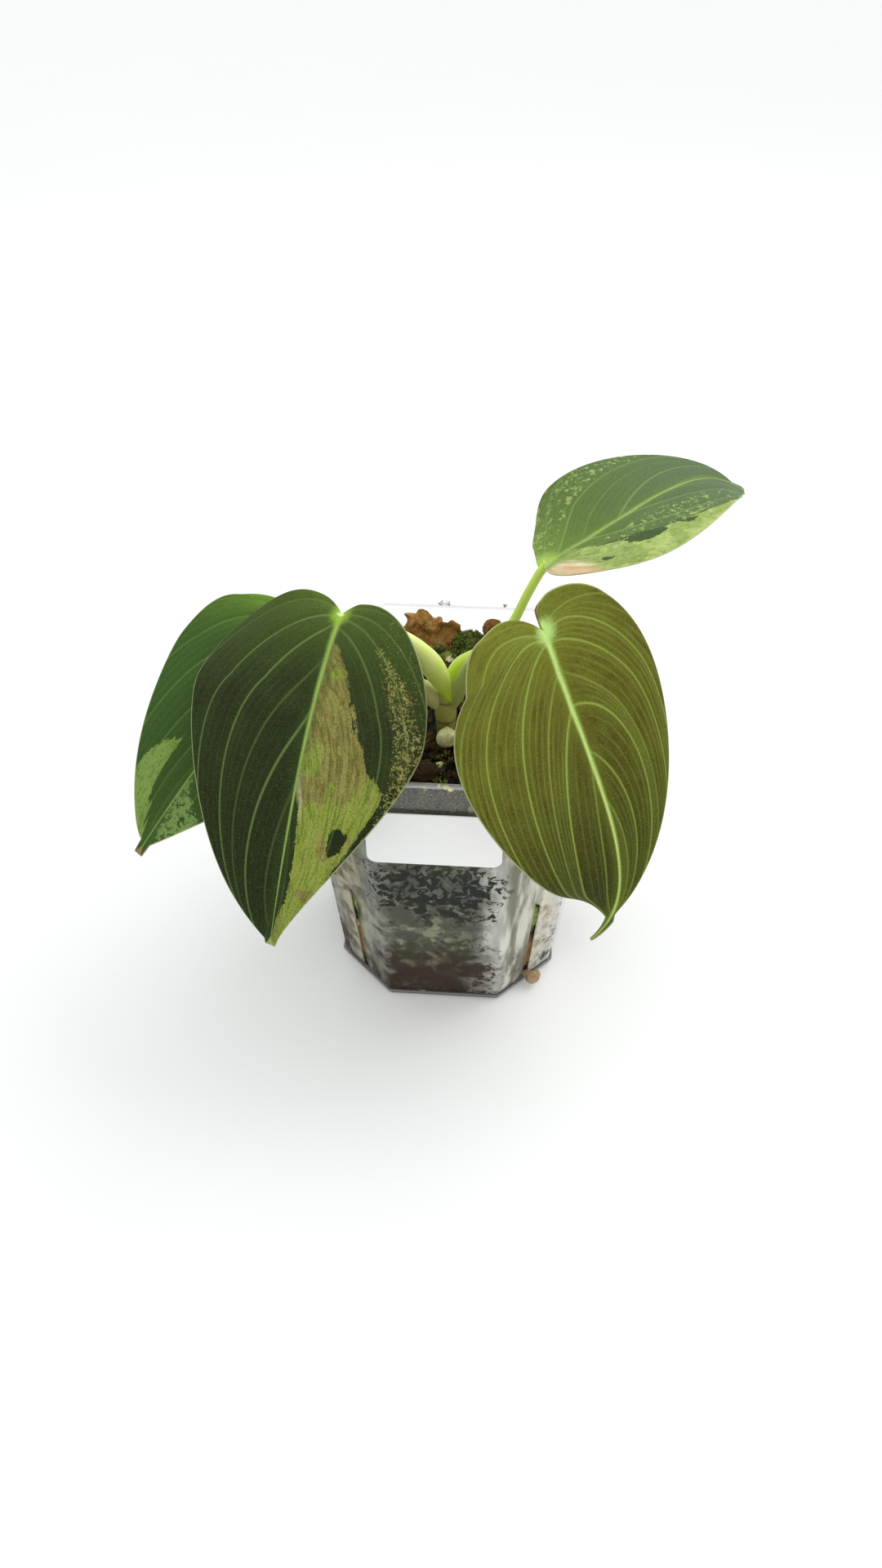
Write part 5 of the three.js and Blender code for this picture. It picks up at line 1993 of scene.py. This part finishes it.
def right_blade() -> Blade:
    """Returns the young bronze blade with bold pale veins."""
    finish = VelvetBlade(
        "leaf_bronze", base=(0.18, 0.19, 0.022), middle=(0.09, 0.076, 0.008), tip=(0.014, 0.018, 0.002),
        between=(0.16, 0.19, 0.022), vein=(0.34, 0.46, 0.09), rib=(0.55, 0.74, 0.24),
        insertion=(0.5, 0.74, 0.22), under=(0.26, 0.16, 0.08), under_rib=(0.45, 0.4, 0.2), rib_width=1.6,
        insertion_reach=5.0, vein_glow=0.55, minor_glow=0.14, weave=1.0,
    )
    right = Half((0.267, 0.106), (0.545, 0.073), (39.5, 0.268), 0.44, (0.64, 0.29), (
        Vein(0.15, 0.5, 4.5, 0.7), Vein(0.18, 0.7, 2.4, 1.0), Vein(0.19, 0.91, 1.25, 1.0),
        Vein(0.35, 0.95, 1.08, 0.5), Vein(0.47, 1.0, 1.1, 1.0), Vein(0.6, 1.4, 1.0, 0.5),
    ))
    left = Half((-0.07, 0.06), (0.17, 0.07), (29.3, 0.176), 0.364, (-0.18, 0.115), (
        Vein(0.17, 0.36, 2.4, 0.6), Vein(0.19, 0.6, 2.5, 1.0), Vein(0.21, 0.66, 1.35, 0.9),
        Vein(0.34, 0.72, 1.0, 0.4), Vein(0.465, 0.78, 1.6, 1.0), Vein(0.58, 0.86, 1.2, 0.7),
        Vein(0.68, 0.9, 1.0, 0.5), Vein(0.8, 0.95, 1.0, 0.3),
    ))
    return Blade("right", "leaf_bronze",
                 ((24.8, -26.7, 137.4), (38.7, -32.9, 98.5), (58.1, -66.1, 85.8), (42, -60.8, 60.5)),
                 (-15.4, 39.2), 0.0019, 0.135, (1.3, 0.88), 0.4, right, left, finish, wave_seed=3.7)


def back_left_blade() -> Blade:
    """Returns the plain green blade behind, with a pale patch by its tip."""
    finish = VelvetBlade(
        "leaf_green", base=(0.2, 0.36, 0.035), middle=(0.047, 0.1, 0.021), tip=(0.036, 0.078, 0.015),
        between=(0.065, 0.13, 0.022), vein=(0.17, 0.3, 0.08), rib=(0.3, 0.46, 0.12),
        insertion=(0.34, 0.55, 0.1), pale=(0.21, 0.33, 0.065), pale_brown=(0.17, 0.28, 0.055),
        marble=(0.2, 0.3, 0.11), cut=(0.3, 0.2, 0.09),
        dark=(0.03, 0.065, 0.013), under=(0.18, 0.28, 0.1), rib_width=1.0, insertion_reach=7.0,
        minor_glow=0.08, marble_grain=1.8, roughness=0.5,
    )
    right = Half((0.15, 0.08), (0.4, 0.09), (30.9, 0.4), 0.37, (0.31, 0.06), (
        Vein(0.12, 0.42, 2.0, 0.6), Vein(0.2, 0.58, 1.2, 0.8), Vein(0.36, 0.7, 1.1, 0.8),
        Vein(0.52, 0.8, 0.9, 0.7), Vein(0.68, 0.9, 0.8, 0.5), Vein(0.8, 0.96, 0.7, 0.3),
    ))
    left = Half((0.15, 0.08), (0.45, 0.12), (29.2, 0.3), 0.42, (0.34, 0.185), (
        Vein(0.12, 0.4, 2.0, 0.6), Vein(0.18, 0.58, 1.3, 0.8), Vein(0.34, 0.7, 1.0, 0.8),
        Vein(0.5, 0.82, 0.9, 0.7), Vein(0.68, 0.9, 0.8, 0.5), Vein(0.82, 0.97, 0.7, 0.3),
    ))
    markings = (
        Marking(Patch.PALE, Side.RIGHT, ((0.58, 0.755), (0.62, 0.735), (0.9, 0.745), (1, 0.77)),
                ((0.58, 0.76), (0.7, 0.8), (0.8, 0.86), (0.87, 0.9), (1, 0.93))),
        Marking(Patch.MARBLE, Side.LEFT, ((0, 0.87), (0.3, 0.855), (0.8, 0.82), (1, 0.8)),
                ((0, 0.94), (0.5, 0.935), (1, 0.9)), 1.6),
        Marking(Patch.DARK, Side.LEFT, ((0.72, 0.84), (0.85, 0.815), (0.95, 0.83)),
                ((0.72, 0.85), (0.85, 0.87), (0.95, 0.86))),
    )
    return Blade("back_left", "leaf_green",
                 ((-41.3, -2.1, 120), (-47.7, -13.1, 114.3), (-66.2, -28.5, 97.9), (-86.6, -45.5, 69.6)),
                 (8.5, 23.9), 0.0034, 0.128, (1.7, 0.965), 1.4, right, left, finish, markings, wave_seed=5.2)


def petioles(blades: dict[str, Blade]) -> tuple[Petiole, ...]:
    """Returns the four petioles, each along its own route with its radius at every point."""
    bright = Flesh("petiole_bright_green", (0.55, 0.75, 0.03), (0.58, 0.78, 0.14), (0.3, 0.3, 0.1), 0.1)
    # The sheath's colours are paler than its own green, as painted light: it stands in shade under the blades.
    sheath = Flesh("petiole_sheath_green", (0.72, 0.93, 0.05), (0.88, 0.97, 0.42), (0.35, 0.38, 0.12), 0.1)
    cream = Flesh("petiole_cream", (0.7, 0.68, 0.28), (0.5, 0.58, 0.18), (0.36, 0.15, 0.03), 0.25)
    pale = Flesh("petiole_pale_green", (0.46, 0.52, 0.13), (0.54, 0.66, 0.2), (0.3, 0.28, 0.1), 0.15)
    return (
        Petiole("front_left", "petiole_bright_green",
                ((-0.9, -6.2, 102, 1.7), (-3.0, -6.3, 106.8, 2.9), (-5.7, -6.6, 112, 3.4),
                 (-11.5, -8.2, 120, 2.5), (-20, -11.6, 127.5, 1.6), (-27, -15.2, 131.8, 1.5)),
                (0.5, -6.4, 97.3, 0.7), blades["front_left"], sheath),
        Petiole("upper_right", "petiole_bright_green",
                ((-0.4, -4.8, 103.2, 1.9), (2.4, -3.2, 109.8, 2.2), (8.6, -0.8, 113.4, 1.7),
                 (15.8, 2.8, 118.9, 1.4), (20.9, 5.3, 129.4, 1.3), (24, 6.4, 135.6, 1.3)),
                (-0.8, -5.2, 98.0, 0.9), blades["upper_right"], bright),
        Petiole("right", "petiole_pale",
                ((1.8, -6.8, 101, 1.6), (3.2, -7.8, 107, 2.1), (6.5, -11, 116.5, 1.8), (14, -18, 127, 1.6),
                 (22.4, -24.2, 134.6, 1.5)), (0.8, -6.4, 97.0, 0.8), blades["right"], pale),
        Petiole("back_left", "petiole_pale",
                ((-4.4, -5.2, 98.6, 2.5), (-9, -5.0, 102.6, 2.8), (-17, -3.8, 107, 1.9),
                 (-30, -2.4, 114.6, 1.6), (-39.6, -2, 118.6, 1.5)), (-1.8, -5.6, 95.5, 1.6),
                blades["back_left"], cream),
    )


def dress_label(nodes: dict[str, Piece]) -> None:
    """Gives the label on the pot's front its bare paper finish."""
    label = nodes["label"]
    label.data.materials.clear()
    label.data.materials.append(LabelPaper().material())


def main() -> None:
    """Builds every piece around the fixed frame, in order."""
    logging.basicConfig(level=logging.INFO, format="%(name)s: %(message)s")
    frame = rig.load()
    cad_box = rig.bounds()
    nodes = frame["nodes"]
    Studio().build()
    pot = Pot()
    pot.build()
    dress_label(nodes)
    PottingMix(pot).build()
    TopDressing().build(nodes)
    Stem().build()
    grown = (front_left_blade(), upper_right_blade(), right_blade(), back_left_blade())
    blades = {blade.name: blade for blade in grown}
    for blade in blades.values():
        blade.build()
    for petiole in petioles(blades):
        petiole.build()
    boxes = {"cad": [list(corner) for corner in cad_box], "visual": [list(corner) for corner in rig.bounds()]}
    with open(SIZE_FILE, "w", encoding="utf-8") as handle:
        json.dump(boxes, handle)


if __name__ == "__main__":
    main()
